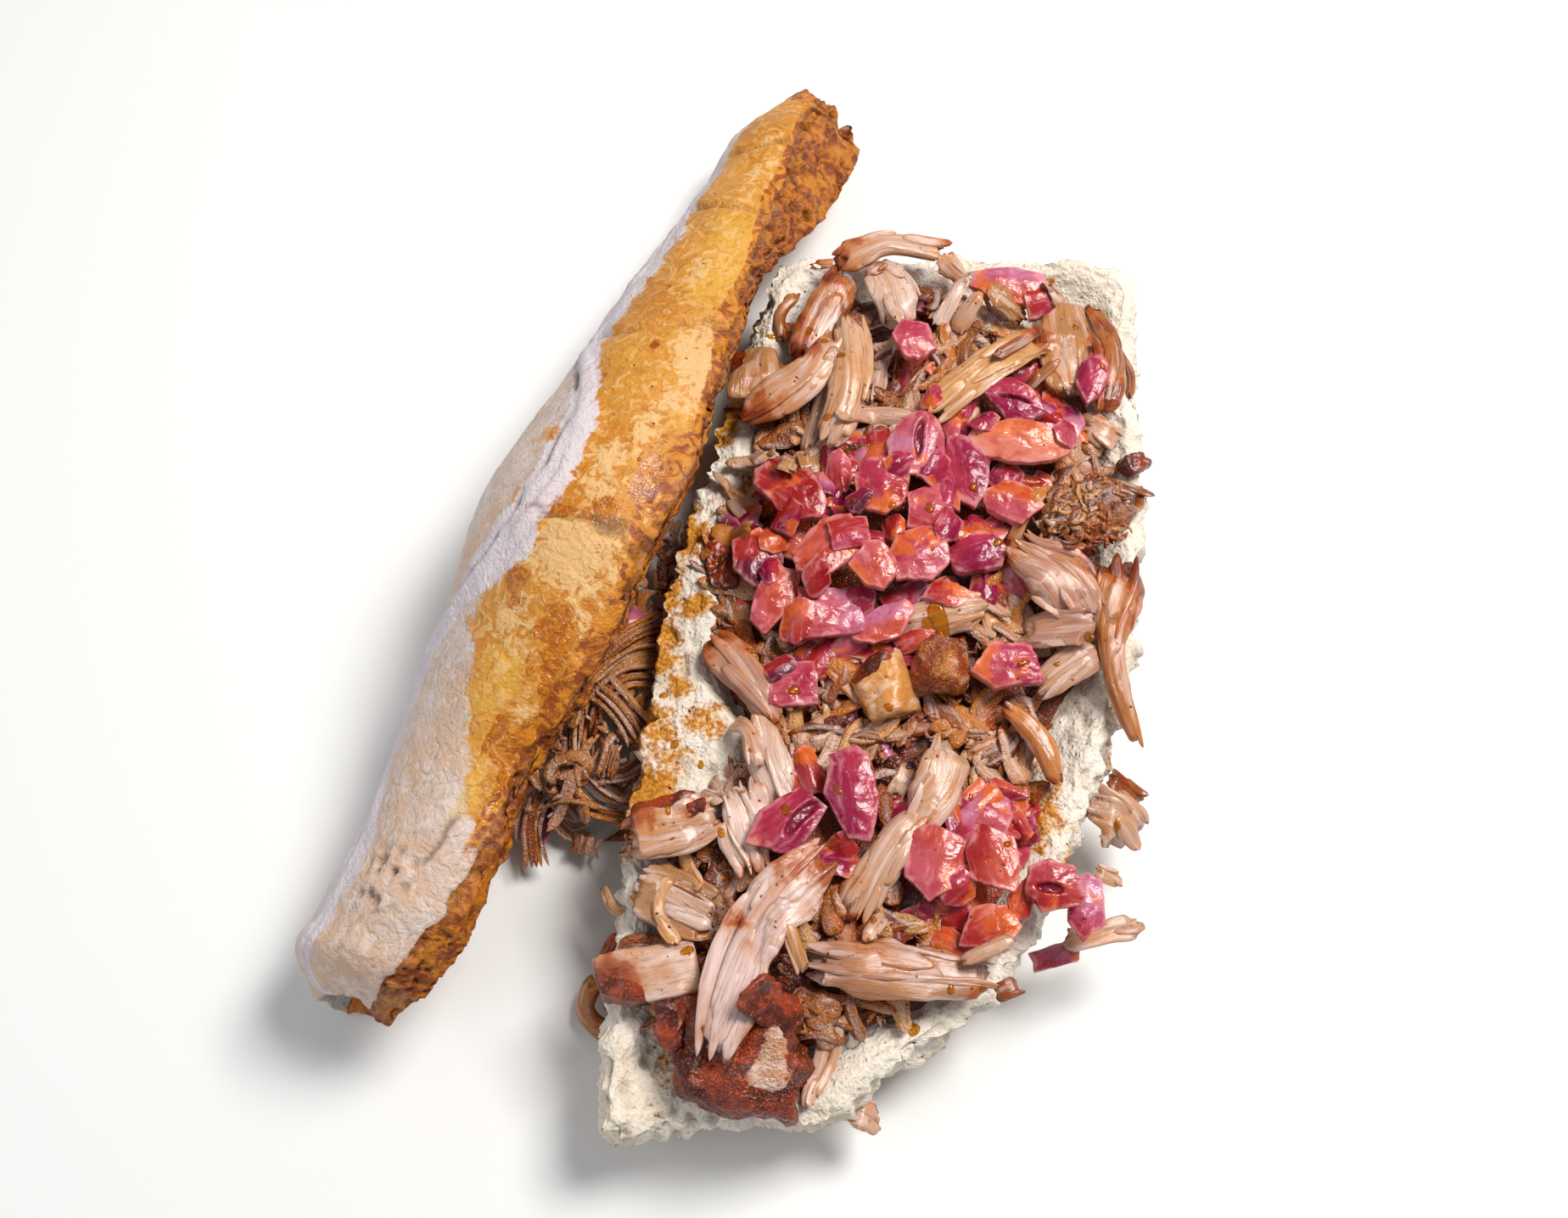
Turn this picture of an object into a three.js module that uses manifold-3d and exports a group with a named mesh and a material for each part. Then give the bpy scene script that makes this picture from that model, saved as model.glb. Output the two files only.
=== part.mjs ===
// An opened torta: the lower half of a long crusty loaf carries pulled pork and pickled red onion,
// and the upper half stands on its long edge beside it and leans over the filling.
// Millimetres, +Z up, the heel's length roughly along Y. Heights are above the table.
import * as THREE from "three";
import { mergeVertices } from "three/addons/utils/BufferGeometryUtils.js";
import Module from "manifold-3d";

// ---- driving dimensions -------------------------------------------------------------------------
const CRUMB_Z = 25; // height of the heel's cut crumb
const RIM_RISE = 3.5; // how far the heel's sides stand proud of the crumb at half its length
const HOLLOW = 5; // how far the crumb is pressed down under the filling
const BED_LOW = 27; // height of the bed of small pork shreds where it is thinnest
const GAP = 0.3; // clearance left between neighbouring solids
const LID_YAW = THREE.MathUtils.degToRad(21.5); // the lid's length is turned this much from +Y
const LID_LEAN = THREE.MathUtils.degToRad(60); // the lid's cut face leans over at this angle
const LID_FOOT_Z = 0.4; // height of the lid's lower edge

const wasm = await Module();
wasm.setup();

// ---- materials ----------------------------------------------------------------------------------
const LOOKS = {
  crumb: { color: 0xd9d2bd, roughness: 0.9 },
  crust: { color: 0xd79a4a, roughness: 0.55 },
  pork: { color: 0xd3ac90, roughness: 0.45 },
  bark: { color: 0x8a3f22, roughness: 0.6 },
  fat: { color: 0xd8c3a0, roughness: 0.3 },
  onion: { color: 0xc4506c, roughness: 0.2 },
};

// ---- solids -------------------------------------------------------------------------------------
// A three.js geometry as a manifold, turned the right way out.
function solid(geometry) {
  const merged = mergeVertices(geometry, 1e-3);
  const index = new Uint32Array(merged.index.array);
  const vertProperties = merged.attributes.position.array;
  const make = () => new wasm.Manifold(new wasm.Mesh({ numProp: 3, vertProperties, triVerts: index }));
  const made = make();
  if (made.volume() > 0) return made;
  for (let i = 0; i < index.length; i += 3) {
    [index[i + 1], index[i + 2]] = [index[i + 2], index[i + 1]];
  }
  return make();
}

// A closed solid from rings of equal length, stacked in order. Each end is closed by a fan from the
// middle of its ring.
function stack(rings) {
  const count = rings[0].length;
  const places = rings.flat();
  const faces = [];
  for (let r = 0; r + 1 < rings.length; r++) {
    for (let i = 0; i < count; i++) {
      const near = r * count + i;
      const next = r * count + ((i + 1) % count);
      faces.push(near, next, next + count, near, next + count, near + count);
    }
  }
  const close = (first, turned) => {
    const ring = places.slice(first, first + count);
    const hub = places.length;
    places.push(ring.reduce((sum, p) => sum.add(p), new THREE.Vector3()).divideScalar(count));
    for (let i = 0; i < count; i++) {
      const here = first + i;
      const next = first + ((i + 1) % count);
      faces.push(hub, turned ? next : here, turned ? here : next);
    }
  };
  const lastRing = (rings.length - 1) * count;
  close(0, true);
  close(lastRing, false);
  const geometry = new THREE.BufferGeometry().setFromPoints(places);
  geometry.setIndex(faces);
  return solid(geometry);
}

// The largest connected body of a solid, because a cut can leave slivers behind.
const largest = (whole) => whole.decompose().sort((a, b) => b.volume() - a.volume())[0];

function geometryOf(made) {
  const { vertProperties, triVerts } = made.getMesh();
  const geometry = new THREE.BufferGeometry();
  geometry.setAttribute("position", new THREE.Float32BufferAttribute(vertProperties, 3));
  geometry.setIndex(new THREE.Uint32BufferAttribute(triVerts, 1));
  geometry.computeVertexNormals();
  return geometry;
}

// A fixed unevenness between -1 and 1, different for every pair of numbers.
const uneven = (i, k) => Math.sin(2.3 * i + 1.7 * k) * Math.cos(1.1 * i - 0.6 * k);

// The value at t, from 0 to 1, of a list that is spread evenly over that stretch.
function spread(list, t) {
  const slot = t * (list.length - 1);
  const low = Math.min(Math.floor(slot), list.length - 2);
  return THREE.MathUtils.lerp(list[low], list[low + 1], slot - low);
}

// The value at x of a curve given by a few [x, value] stations.
function follow(stations, x) {
  const after = stations.findIndex(([at]) => at >= x);
  if (after <= 0) return stations.at(after)[1];
  const [a, b] = [stations[after - 1], stations[after]];
  return THREE.MathUtils.lerp(a[1], b[1], THREE.MathUtils.smoothstep(x, a[0], b[0]));
}

// ---- bread --------------------------------------------------------------------------------------
// The heel's outline at the crumb, anticlockwise from its near left corner, and its middle line.
const HEEL_OUTLINE = [
  [-24, -110], [-8, -108], [12, -107], [22, -107], [33, -98], [45, -90], [56, -80], [66, -64],
  [73, -47], [80, -33], [86, -14], [90, 8], [92, 35], [93, 70], [92, 90], [60, 91], [30, 90],
  [12, 90], [3, 70], [-4, 42], [-13, 16], [-16, -8], [-19, -34], [-23, -50], [-23, -66], [-26, -90],
];
const HEEL_FAR = new THREE.Vector3(44, 56, 0);
const HEEL_NEAR = new THREE.Vector3(-2, -78, 0);
const HEEL_POINTS = 38; // points round one level of the heel

// One level of the heel: its outline moved inwards by inset, at a height that may vary along it.
function heelLevel(inset, height) {
  const points = HEEL_OUTLINE.map(([x, y]) => new THREE.Vector3(x, y, 0));
  const outline = new THREE.CatmullRomCurve3(points, true, "catmullrom", 0.3);
  const middleLine = new THREE.Line3(HEEL_NEAR, HEEL_FAR);
  const level = outline.getSpacedPoints(HEEL_POINTS).slice(0, HEEL_POINTS);
  for (const p of level) {
    const inward = middleLine.closestPointToPoint(p, true, new THREE.Vector3()).sub(p);
    const room = inward.length();
    p.addScaledVector(inward, Math.min(inset / room, 0.92));
    p.z = height(p);
  }
  return level;
}

const rimHeight = (p) => CRUMB_Z + RIM_RISE * Math.exp(-(((p.y - 5) / 75) ** 2)) + 0.7 * Math.sin(p.y / 6);

function heel(grow) {
  const floor = CRUMB_Z - HOLLOW;
  return stack([
    heelLevel(13 - grow, () => -grow),
    heelLevel(6 - grow, () => 2.5 - grow),
    heelLevel(1.5 - grow, () => 9),
    heelLevel(-grow, () => 17),
    heelLevel(0.8 - grow, (p) => rimHeight(p) - 1.5 + grow),
    heelLevel(4, (p) => rimHeight(p) + grow),
    heelLevel(11, (p) => rimHeight(p) - 2.5 + grow),
    heelLevel(17, () => floor + 1.5 + grow),
    heelLevel(26, () => floor + grow),
  ]);
}

// The lid from its near end to its far end: the distance along it, the width of its cut face, the
// depth of its dome, the offset of its upper edge from the lid's axis line, and how much torn crumb
// shows under that edge.
const LID_STATIONS = [
  [-107, 28, 9, -33, 4],
  [-103, 37, 16, -30, 6],
  [-92, 43, 20, -25, 7],
  [-76, 45, 21, -22, 6],
  [-56, 47, 22, -22, 4],
  [-30, 56, 26, -16.5, 2],
  [0, 62, 29, -15, 2],
  [30, 58, 27, -16, 3],
  [58, 49, 22.5, -20, 6],
  [84, 41, 19, -23.5, 10],
  [106, 34, 16, -26, 12],
  [127, 29, 13, -27.5, 12],
  [137, 24, 8, -28.5, 9],
];
const LID_SIDES = 12; // facets round the crust of one section

function lid(grow) {
  const length = new THREE.Vector3(Math.sin(LID_YAW), Math.cos(LID_YAW), 0);
  const right = new THREE.Vector3(Math.cos(LID_YAW), -Math.sin(LID_YAW), 0);
  const upFace = right.clone().multiplyScalar(Math.cos(LID_LEAN)).setZ(Math.sin(LID_LEAN));
  const outward = right.clone().multiplyScalar(-Math.sin(LID_LEAN)).setZ(Math.cos(LID_LEAN));
  const last = LID_STATIONS.length - 1;
  const rings = LID_STATIONS.map(([along, face, dome, edge, torn], n) => {
    const reach = n === 0 ? -grow : n === last ? grow : 0;
    const foot = new THREE.Vector3()
      .addScaledVector(length, along + reach)
      .addScaledVector(right, edge - face * Math.cos(LID_LEAN))
      .setZ(LID_FOOT_Z);
    const at = (up, out) => foot.clone().addScaledVector(upFace, up).addScaledVector(outward, out);
    const ring = [];
    for (let k = 0; k <= LID_SIDES; k++) {
      const angle = Math.PI * (1 - k / LID_SIDES);
      const bulge = Math.sin(angle) ** 0.85 * (1 + 0.04 * uneven(k, n));
      const up = face * (0.5 + 0.5 * Math.cos(angle)) + grow * Math.cos(angle);
      ring.push(at(up, dome * bulge + grow * Math.sin(angle)));
    }
    ring.push(at(face - 2.5 + grow, -torn - grow));
    ring.push(at(face * 0.5, -torn * 0.3 - grow));
    ring.push(at(5 - grow, -torn * 0.3 - grow));
    return ring;
  });
  return stack(rings);
}

// ---- beds of small shreds -----------------------------------------------------------------------
// Hills that the larger pieces rest on: a middle, a reach along X and Y, and a rise.
const HILLS = [
  { at: [36, 18], reach: [35, 29], rise: 8.5 },
  { at: [62, 44], reach: [17, 15], rise: 4.5 },
  { at: [40, 70], reach: [24, 16], rise: 4 },
  { at: [74, 6], reach: [11, 17], rise: 3.5 },
  { at: [48, -60], reach: [21, 16], rise: 5 },
  { at: [15, -54], reach: [15, 17], rise: 4.5 },
  { at: [2, -86], reach: [18, 14], rise: 3 },
];

function bedHeight(x, y) {
  const rises = HILLS.map(({ at, reach, rise }) => {
    return rise * Math.exp(-(((x - at[0]) / reach[0]) ** 2) - ((y - at[1]) / reach[1]) ** 2);
  });
  return rises.reduce((sum, rise) => sum + rise, BED_LOW);
}

// A bed made of sections along Y: a flat foot, low sides and a lumpy top.
function bed({ left, right, foot, shoulder, top, rows, columns, grow }) {
  const from = left[0][0];
  const to = left.at(-1)[0];
  const rings = [];
  for (let row = 0; row < rows; row++) {
    const y = THREE.MathUtils.lerp(from, to, row / (rows - 1));
    const end = row === 0 || row === rows - 1 ? 0.5 : 1;
    const west = follow(left, y) - grow;
    const east = follow(right, y) + grow;
    const ring = [new THREE.Vector3(east, y, foot - grow), new THREE.Vector3(west, y, foot - grow)];
    for (let column = 0; column <= columns; column++) {
      const x = THREE.MathUtils.lerp(west, east, column / columns);
      const side = Math.sin((Math.PI * column) / columns) ** 0.5 * end;
      const z = THREE.MathUtils.lerp(shoulder, top(x, y), side) + 0.5 * uneven(row, column) + grow;
      ring.push(new THREE.Vector3(x, y, z));
    }
    rings.push(ring);
  }
  return stack(rings);
}

const PORK_BED = {
  left: [[-101, -8], [-92, -13], [-80, -19], [-60, -18], [-40, -9], [10, -6], [30, 0], [58, 7], [80, 24]],
  right: [[-101, 11], [-92, 16], [-84, 42], [-70, 58], [-40, 62], [-4, 80], [14, 83], [60, 84], [80, 62]],
  foot: CRUMB_Z - HOLLOW + 1.6,
  shoulder: 25.5,
  top: bedHeight,
  rows: 23,
  columns: 8,
};

// What has slid down between the two halves.
const SPILL = {
  left: [[-46, -46], [-34, -54], [-10, -54], [30, -34]],
  right: [[-46, -30], [-34, -12], [-10, -8], [30, -8]],
  foot: 0.4,
  shoulder: 4,
  top: (x, y) => 7 + 12 * Math.exp(-(((y + 20) / 26) ** 2)),
  rows: 13,
  columns: 5,
};

// ---- pieces of the filling ----------------------------------------------------------------------
// A piece of meat: an oval section swept along a curve over the bed, thinning towards both ends.
// along lists the curve's [x, y], lift its heights above the bed and wide its widths along it.
function shred({ along, lift, wide, thick, steps = 6, blunt = 0.55, seed, grow }) {
  const sides = 8;
  const up = new THREE.Vector3(0, 0, 1);
  const points = along.map(([x, y], i) => {
    return new THREE.Vector3(x, y, bedHeight(x, y) + spread(lift, i / (along.length - 1)));
  });
  const path = new THREE.CatmullRomCurve3(points);
  const rings = [];
  for (let step = 0; step < steps; step++) {
    const t = step / (steps - 1);
    const tangent = path.getTangent(t);
    const centre = path.getPoint(t).addScaledVector(tangent, (2 * t - 1) * grow);
    const side = new THREE.Vector3().crossVectors(tangent, up).normalize();
    const top = new THREE.Vector3().crossVectors(side, tangent).normalize();
    const taper = blunt + (1 - blunt) * Math.sqrt(Math.sin(Math.PI * (0.06 + 0.88 * t)));
    const halfWidth = (spread(wide, t) / 2) * taper * (1 + 0.1 * uneven(step, seed)) + grow;
    const halfThickness = (thick / 2) * taper + grow;
    const ring = [];
    for (let k = 0; k < sides; k++) {
      const angle = (2 * Math.PI * k) / sides;
      const across = halfWidth * Math.cos(angle) * (1 + 0.08 * uneven(k, step + seed));
      ring.push(
        centre.clone().addScaledVector(side, across).addScaledVector(top, halfThickness * Math.sin(angle)),
      );
    }
    rings.push(ring);
  }
  return stack(rings);
}

// A chopped piece of one onion layer: a curved patch of even thickness with a rounded outline.
// turn is its long side's direction, pitch and roll tilt it, curl is its bend radius, and a corner
// of 2 gives a pointed oval and a larger one a squarer cut.
function petal(shape) {
  const { at, size, lift, turn, pitch = 0, roll = 0, curl = 8, thick = 2.8, corner = 2.6 } = shape;
  const { seed, grow } = shape;
  const sides = 10;
  const [long, wide] = [size[0] / 2 + grow, size[1] / 2 + grow];
  const half = thick / 2 + grow;
  const tilt = new THREE.Euler(
    THREE.MathUtils.degToRad(roll),
    THREE.MathUtils.degToRad(pitch),
    THREE.MathUtils.degToRad(turn),
    "ZXY",
  );
  const middle = new THREE.Vector3(at[0], at[1], bedHeight(...at) + lift);
  const level = (share, side) => {
    const ring = [];
    for (let k = 0; k < sides; k++) {
      const angle = (2 * Math.PI * (k + 0.5)) / sides;
      const [c, s] = [Math.cos(angle), Math.sin(angle)];
      const reach = (Math.abs(c) ** corner + Math.abs(s) ** corner) ** (-1 / corner);
      const edge = share * reach * (1 + 0.09 * uneven(k, seed));
      const [u, v] = [long * edge * c, wide * edge * s];
      const sag = (wide * wide) / (4 * curl) - (v * v) / (2 * curl) - (u * u) / (5 * curl);
      ring.push(new THREE.Vector3(u, v, sag + side * half).applyEuler(tilt).add(middle));
    }
    return ring;
  };
  return stack([level(0.94, -1), level(1, 0.4), level(0.6, 1)]);
}

// Both lists run from the top of the pile down, because a piece is cut back where one above it lies.
const ONIONS = {
  // the main heap
  onion_tile: { at: [30, 4], size: [12, 10], lift: 8.5, turn: -62, pitch: 8, curl: 12, corner: 5 },
  onion_twist: { at: [20, 9], size: [20, 12], lift: 7, turn: 48, roll: -12, curl: 7, corner: 2.2 },
  onion_jewel: { at: [13, 23], size: [20, 13], lift: 6, turn: -38, curl: 9, thick: 3.4, corner: 3 },
  onion_spindle: { at: [63, 35], size: [26, 12], lift: 6, turn: -6, roll: 14, curl: 6, corner: 1.8 },
  onion_tent: { at: [40, 34], size: [19, 14], lift: 6.5, turn: 72, curl: 5, thick: 3, corner: 1.9 },
  onion_long: { at: [9, -1], size: [19, 9], lift: 6, turn: 66, pitch: -6, curl: 7 },
  onion_bowl: { at: [40, 8], size: [15, 14], lift: 4.5, turn: 25, curl: 9, thick: 3 },
  onion_ruby: { at: [32, 23], size: [16, 14], lift: 5, turn: 105, curl: 8, thick: 3, corner: 2.4 },
  onion_plum: { at: [5, 9], size: [15, 13], lift: 4, turn: 80, roll: 10, curl: 9 },
  onion_wine: { at: [51, 29], size: [20, 13], lift: 3.5, turn: 100, corner: 2.2 },
  onion_blush: { at: [42, 19], size: [16, 14], lift: 3, turn: 150, curl: 9, corner: 2.4 },
  onion_cube: { at: [60, 21], size: [14, 11], lift: 4, turn: -32, thick: 3.4, corner: 4 },
  onion_loaf: { at: [52, 9], size: [14, 10], lift: 4, turn: 18, curl: 5, thick: 3.6, corner: 3 },
  onion_violet: { at: [21, -4], size: [14, 12], lift: 5, turn: 4, pitch: 6, curl: 12, corner: 4.5 },
  onion_shell: { at: [32, -6], size: [16, 10], lift: 4.5, turn: 28, curl: 6, corner: 2.4 },
  onion_rose: { at: [13, -19], size: [12, 11], lift: 4.5, turn: 4, curl: 12, corner: 4.5 },
  // those that lie apart
  onion_lobes: { at: [62, 46], size: [16, 12], lift: 5, turn: 155, curl: 7, thick: 3.2 },
  onion_pearl: { at: [62, 77], size: [21, 10], lift: 8, turn: -10, curl: 7, thick: 3, corner: 2.8 },
  onion_square: { at: [40, 61], size: [11, 11], lift: 7.5, turn: 5, pitch: 5, curl: 13, corner: 5 },
  onion_drop: { at: [80, 53], size: [14, 9], lift: 7, turn: 75 },
  onion_block: { at: [58, -16], size: [17, 11], lift: 7.5, turn: -4, thick: 3.6, corner: 4 },
  onion_leaf: { at: [25, -44], size: [24, 13], lift: 7, turn: 96, curl: 7, thick: 3, corner: 2 },
  onion_slit: { at: [12, -50], size: [20, 15], lift: 6, turn: 38, thick: 3, corner: 2.2 },
  onion_cheek: { at: [42, -58], size: [18, 14], lift: 4.5, turn: 78, curl: 9, thick: 3, corner: 3 },
  onion_coral: { at: [53, -58], size: [15, 13], lift: 6, turn: 100, curl: 9, corner: 2.8 },
  onion_mouth: { at: [64, -63], size: [15, 13], lift: 8, turn: -24, curl: 6, thick: 3, corner: 2.2 },
  onion_flame: { at: [53, -71], size: [17, 13], lift: 5, turn: 24, thick: 3, corner: 2.4 },
  onion_edge: { at: [72, -66], size: [15, 10], lift: 5, turn: 78, corner: 3 },
};

const PORK = {
  shred_great: {
    along: [[21, -59], [12, -64], [5, -74], [1, -87], [-1, -97]],
    lift: [5, 8, 8, 7, 5], wide: [10, 14, 13, 11, 6], thick: 7, steps: 9,
  },
  shred_horn: {
    along: [[86, 7], [80, -5], [81, -18], [86, -33]],
    lift: [5, 5, 5, 3], wide: [17, 11, 9, 3], thick: 6, steps: 8, blunt: 0.4,
  },
  shred_arch: {
    along: [[49, 86], [39, 88], [30, 87], [25, 81]],
    lift: [5, 7, 8, 5], wide: [8, 7, 8, 9], thick: 5, steps: 7,
  },
  shred_flap: {
    along: [[21, 64], [18, 55], [9, 48], [1, 44]],
    lift: [6, 7, 6, 4], wide: [6, 8, 10, 7], thick: 5, steps: 8,
  },
  shred_peak: { along: [[32, 83], [36, 74], [39, 66]], lift: [4, 5, 4], wide: [8, 12, 12], thick: 6 },
  shred_grain: {
    along: [[24, 67], [26, 56], [25, 46], [20, 37]],
    lift: [5, 7, 6, 3], wide: [6, 10, 9, 8], thick: 6, steps: 7,
  },
  shred_cross: {
    along: [[69, 63], [60, 57], [50, 49], [43, 43]],
    lift: [4, 6, 5, 3], wide: [9, 10, 9, 7], thick: 6, steps: 7,
  },
  shred_stained: {
    along: [[26, 83], [22, 75], [18, 66], [15, 58]],
    lift: [3, 3, 3, 2], wide: [9, 10, 10, 9], thick: 7,
  },
  shred_rind: {
    along: [[80, 73], [85, 65], [85, 56], [82, 46]],
    lift: [3, 4, 4, 3], wide: [4, 7, 9, 8], thick: 6,
  },
  slab_pale: { along: [[75, 75], [77, 63], [78, 50]], lift: [2, 3, 3], wide: [13, 18, 13], thick: 5 },
  chunk_west: { along: [[7, 62], [4, 55], [7, 49]], lift: [2, 2, 2], wide: [10, 13, 9], thick: 7 },
  clump_mince: { along: [[66, 13], [76, 18], [85, 24]], lift: [4, 4, 4], wide: [13, 19, 14], thick: 12 },
  shred_fan: { along: [[60, 10], [69, 4], [75, -5]], lift: [3, 4, 4], wide: [10, 17, 15], thick: 9 },
  strip_pool: { along: [[36, -7], [45, -5], [54, -3]], lift: [1, 2, 3], wide: [10, 10, 9], thick: 5 },
  strip_east: { along: [[65, -21], [72, -15], [80, -13]], lift: [3, 4, 4], wide: [8, 9, 8], thick: 5 },
  chunk_golden: {
    along: [[26, -21], [32, -20], [38, -18]],
    lift: [3, 3, 3], wide: [11, 14, 12], thick: 10,
  },
  chunk_crusted: {
    along: [[38, -16], [44, -16], [50, -16]],
    lift: [3, 4, 4], wide: [11, 13, 12], thick: 11,
  },
  strip_rim: { along: [[57, -24], [64, -30], [67, -41]], lift: [4, 4, 2], wide: [5, 6, 4], thick: 4 },
  shred_west: { along: [[-5, -9], [3, -17], [9, -27]], lift: [2, 3, 3], wide: [9, 11, 8], thick: 6 },
  shred_white: { along: [[6, -27], [7, -36], [11, -46]], lift: [5, 5, 3], wide: [8, 10, 9], thick: 6 },
  shred_feather: { along: [[0, -42], [3, -50], [6, -60]], lift: [5, 4, 2], wide: [8, 11, 6], thick: 6 },
  slab_upper: { along: [[-20, -51], [-12, -50], [-3, -47]], lift: [2, 4, 4], wide: [11, 14, 11], thick: 8 },
  slab_lower: { along: [[-18, -61], [-10, -65], [-3, -69]], lift: [3, 3, 3], wide: [11, 15, 14], thick: 6 },
  shred_diag: { along: [[39, -48], [31, -57], [25, -69]], lift: [3, 3, 2], wide: [8, 10, 10], thick: 7 },
  shred_middle: { along: [[46, -32], [43, -42], [36, -51]], lift: [4, 4, 2], wide: [10, 12, 9], thick: 6 },
  shred_broad: {
    along: [[15, -77], [27, -79], [40, -80], [53, -81]],
    lift: [3, 5, 4, 2], wide: [9, 13, 11, 10], thick: 6, steps: 7,
  },
  chunk_corner: {
    along: [[-26, -80], [-16, -80], [-7, -76]],
    lift: [1, 3, 3], wide: [8, 12, 10], thick: 7,
  },
  chunk_bark: {
    along: [[-12, -93], [1, -97], [15, -98]],
    lift: [0, 0, 0], wide: [17, 21, 17], thick: 14, blunt: 0.7,
  },
};

// ---- building up --------------------------------------------------------------------------------
const root = new THREE.Group();
root.name = "torta";
const above = []; // grown copies of what is already placed, from the top down

function roomOf(body) {
  const { min, max } = body.boundingBox();
  return new THREE.Box3(new THREE.Vector3(...min), new THREE.Vector3(...max));
}

// Adds a piece. make(grow) gives its solid, larger all round by grow millimetres.
function place(name, look, make) {
  let piece = make(0);
  const room = roomOf(piece);
  for (const upper of above) {
    if (room.intersectsBox(upper.room)) piece = piece.subtract(upper.body);
  }
  const mesh = new THREE.Mesh(
    geometryOf(largest(piece)),
    new THREE.MeshStandardMaterial({ ...LOOKS[look], metalness: 0 }),
  );
  mesh.name = name;
  root.add(mesh);
  const body = make(GAP);
  above.push({ body, room: roomOf(body) });
}

function meatLook(name) {
  if (/bark|crusted|mince/.test(name)) return "bark";
  return name.startsWith("slab") ? "fat" : "pork";
}

place("bread_lid", "crust", lid);
Object.entries(ONIONS).forEach(([name, shape], i) => {
  place(name, "onion", (grow) => petal({ ...shape, seed: i + 1, grow }));
});
Object.entries(PORK).forEach(([name, shape], i) => {
  place(name, meatLook(name), (grow) => shred({ ...shape, seed: i + 1, grow }));
});
place("pork_bed", "bark", (grow) => bed({ ...PORK_BED, grow }));
place("bread_heel", "crumb", heel);
place("pork_spill", "bark", (grow) => bed({ ...SPILL, grow }));

// The origin is the middle of the underside of the whole.
const extent = new THREE.Box3().setFromObject(root);
const middle = extent.getCenter(new THREE.Vector3());
root.position.set(-middle.x, -middle.y, -extent.min.z);

export default root;
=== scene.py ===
# %% [markdown]
# # An opened torta with pulled pork and pickled red onion
# A long crusty loaf is split and opened. The lower half, the heel, is pressed open and heaped with
# pulled pork and chopped pickled onion, and the upper half, the lid, leans over it on its long edge.
# The construction comes in as a fixed frame of plain solids at their real size. Every solid is
# replaced here by a finer piece that is worked out from the solid's own corners, so that each piece
# lies where the construction says. Lengths are millimetres until a mesh is made.

# %% Load the construction
import math

import bpy
import numpy as np
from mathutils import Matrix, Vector
from mathutils.bvhtree import BVHTree


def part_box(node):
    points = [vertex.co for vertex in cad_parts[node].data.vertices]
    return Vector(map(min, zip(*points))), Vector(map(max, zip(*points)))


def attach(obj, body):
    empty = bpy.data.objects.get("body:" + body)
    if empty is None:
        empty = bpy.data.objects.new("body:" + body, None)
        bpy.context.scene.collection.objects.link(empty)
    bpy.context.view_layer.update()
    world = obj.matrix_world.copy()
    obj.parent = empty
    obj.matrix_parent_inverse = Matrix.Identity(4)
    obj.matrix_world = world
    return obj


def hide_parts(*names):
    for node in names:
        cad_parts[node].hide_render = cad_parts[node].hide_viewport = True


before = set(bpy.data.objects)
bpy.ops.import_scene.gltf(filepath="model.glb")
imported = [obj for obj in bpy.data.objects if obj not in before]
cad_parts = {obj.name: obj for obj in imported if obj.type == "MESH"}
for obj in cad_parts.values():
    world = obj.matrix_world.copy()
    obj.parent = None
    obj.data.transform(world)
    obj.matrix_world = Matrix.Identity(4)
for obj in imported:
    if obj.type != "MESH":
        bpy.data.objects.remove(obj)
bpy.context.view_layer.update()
MM = 0.001
print("nodes:", len(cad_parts))

# %% [markdown]
# ## Camera, table and light
# The sandwich lies on a table and is seen from a little in front of straight above. A plain pale
# floor and soft daylight from the upper right suit food: the light has to be broad, or wet onion
# turns to hard white spots, it has to reach the crumb beside the leaning lid, and the shade between
# the pieces has to stay, or the heap looks flat.

# %% Camera
ELEVATION = math.radians(68)
DISTANCE = 0.385
AIM = Vector((0.0093, -0.0148, 0.022))
lens = bpy.data.cameras.new("camera")
lens.lens = 40
lens.sensor_width = 36
lens.clip_start = 0.01
camera = bpy.data.objects.new("camera", lens)
camera.location = AIM + DISTANCE * Vector((0, -math.cos(ELEVATION), math.sin(ELEVATION)))
camera.rotation_euler = (math.pi / 2 - ELEVATION, 0, 0)
bpy.context.scene.collection.objects.link(camera)
bpy.context.scene.camera = camera

# %% Light
def lamp(name, place, aim, size, watts, tint):
    """A square soft box that shines from place towards aim."""
    light = bpy.data.lights.new(name, "AREA")
    light.size = size
    light.energy = watts
    light.color = tint
    holder = bpy.data.objects.new(name, light)
    holder.location = place
    holder.rotation_euler = (Vector(aim) - Vector(place)).to_track_quat("-Z", "Y").to_euler()
    bpy.context.scene.collection.objects.link(holder)


lamp("window", (0.42, 0.22, 0.80), (0, 0, 0.02), 0.34, 9.4, (1.0, 0.975, 0.935))
lamp("fill", (-0.65, -0.2, 0.55), (0, 0, 0.02), 0.6, 1.7, (0.96, 0.98, 1.0))
sky = bpy.data.worlds.new("sky")
sky.use_nodes = True
sky.node_tree.nodes["Background"].inputs["Color"].default_value = (0.93, 0.95, 1.0, 1)
sky.node_tree.nodes["Background"].inputs["Strength"].default_value = 0.27
bpy.context.scene.world = sky
bpy.context.scene.cycles.adaptive_threshold = 0.1  # soft light leaves little noise to clear
bpy.context.scene.view_settings.view_transform = "Standard"

# %% [markdown]
# ## Unevenness
# Food has no plain surface. Three kinds of unevenness are enough for all of it: smooth bumps of one
# size, layers of bumps from large to small, and scattered cells, whose walls and middles make pores
# and grains. They are worked out from whole-number corners of space, so they are the same each time.

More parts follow.
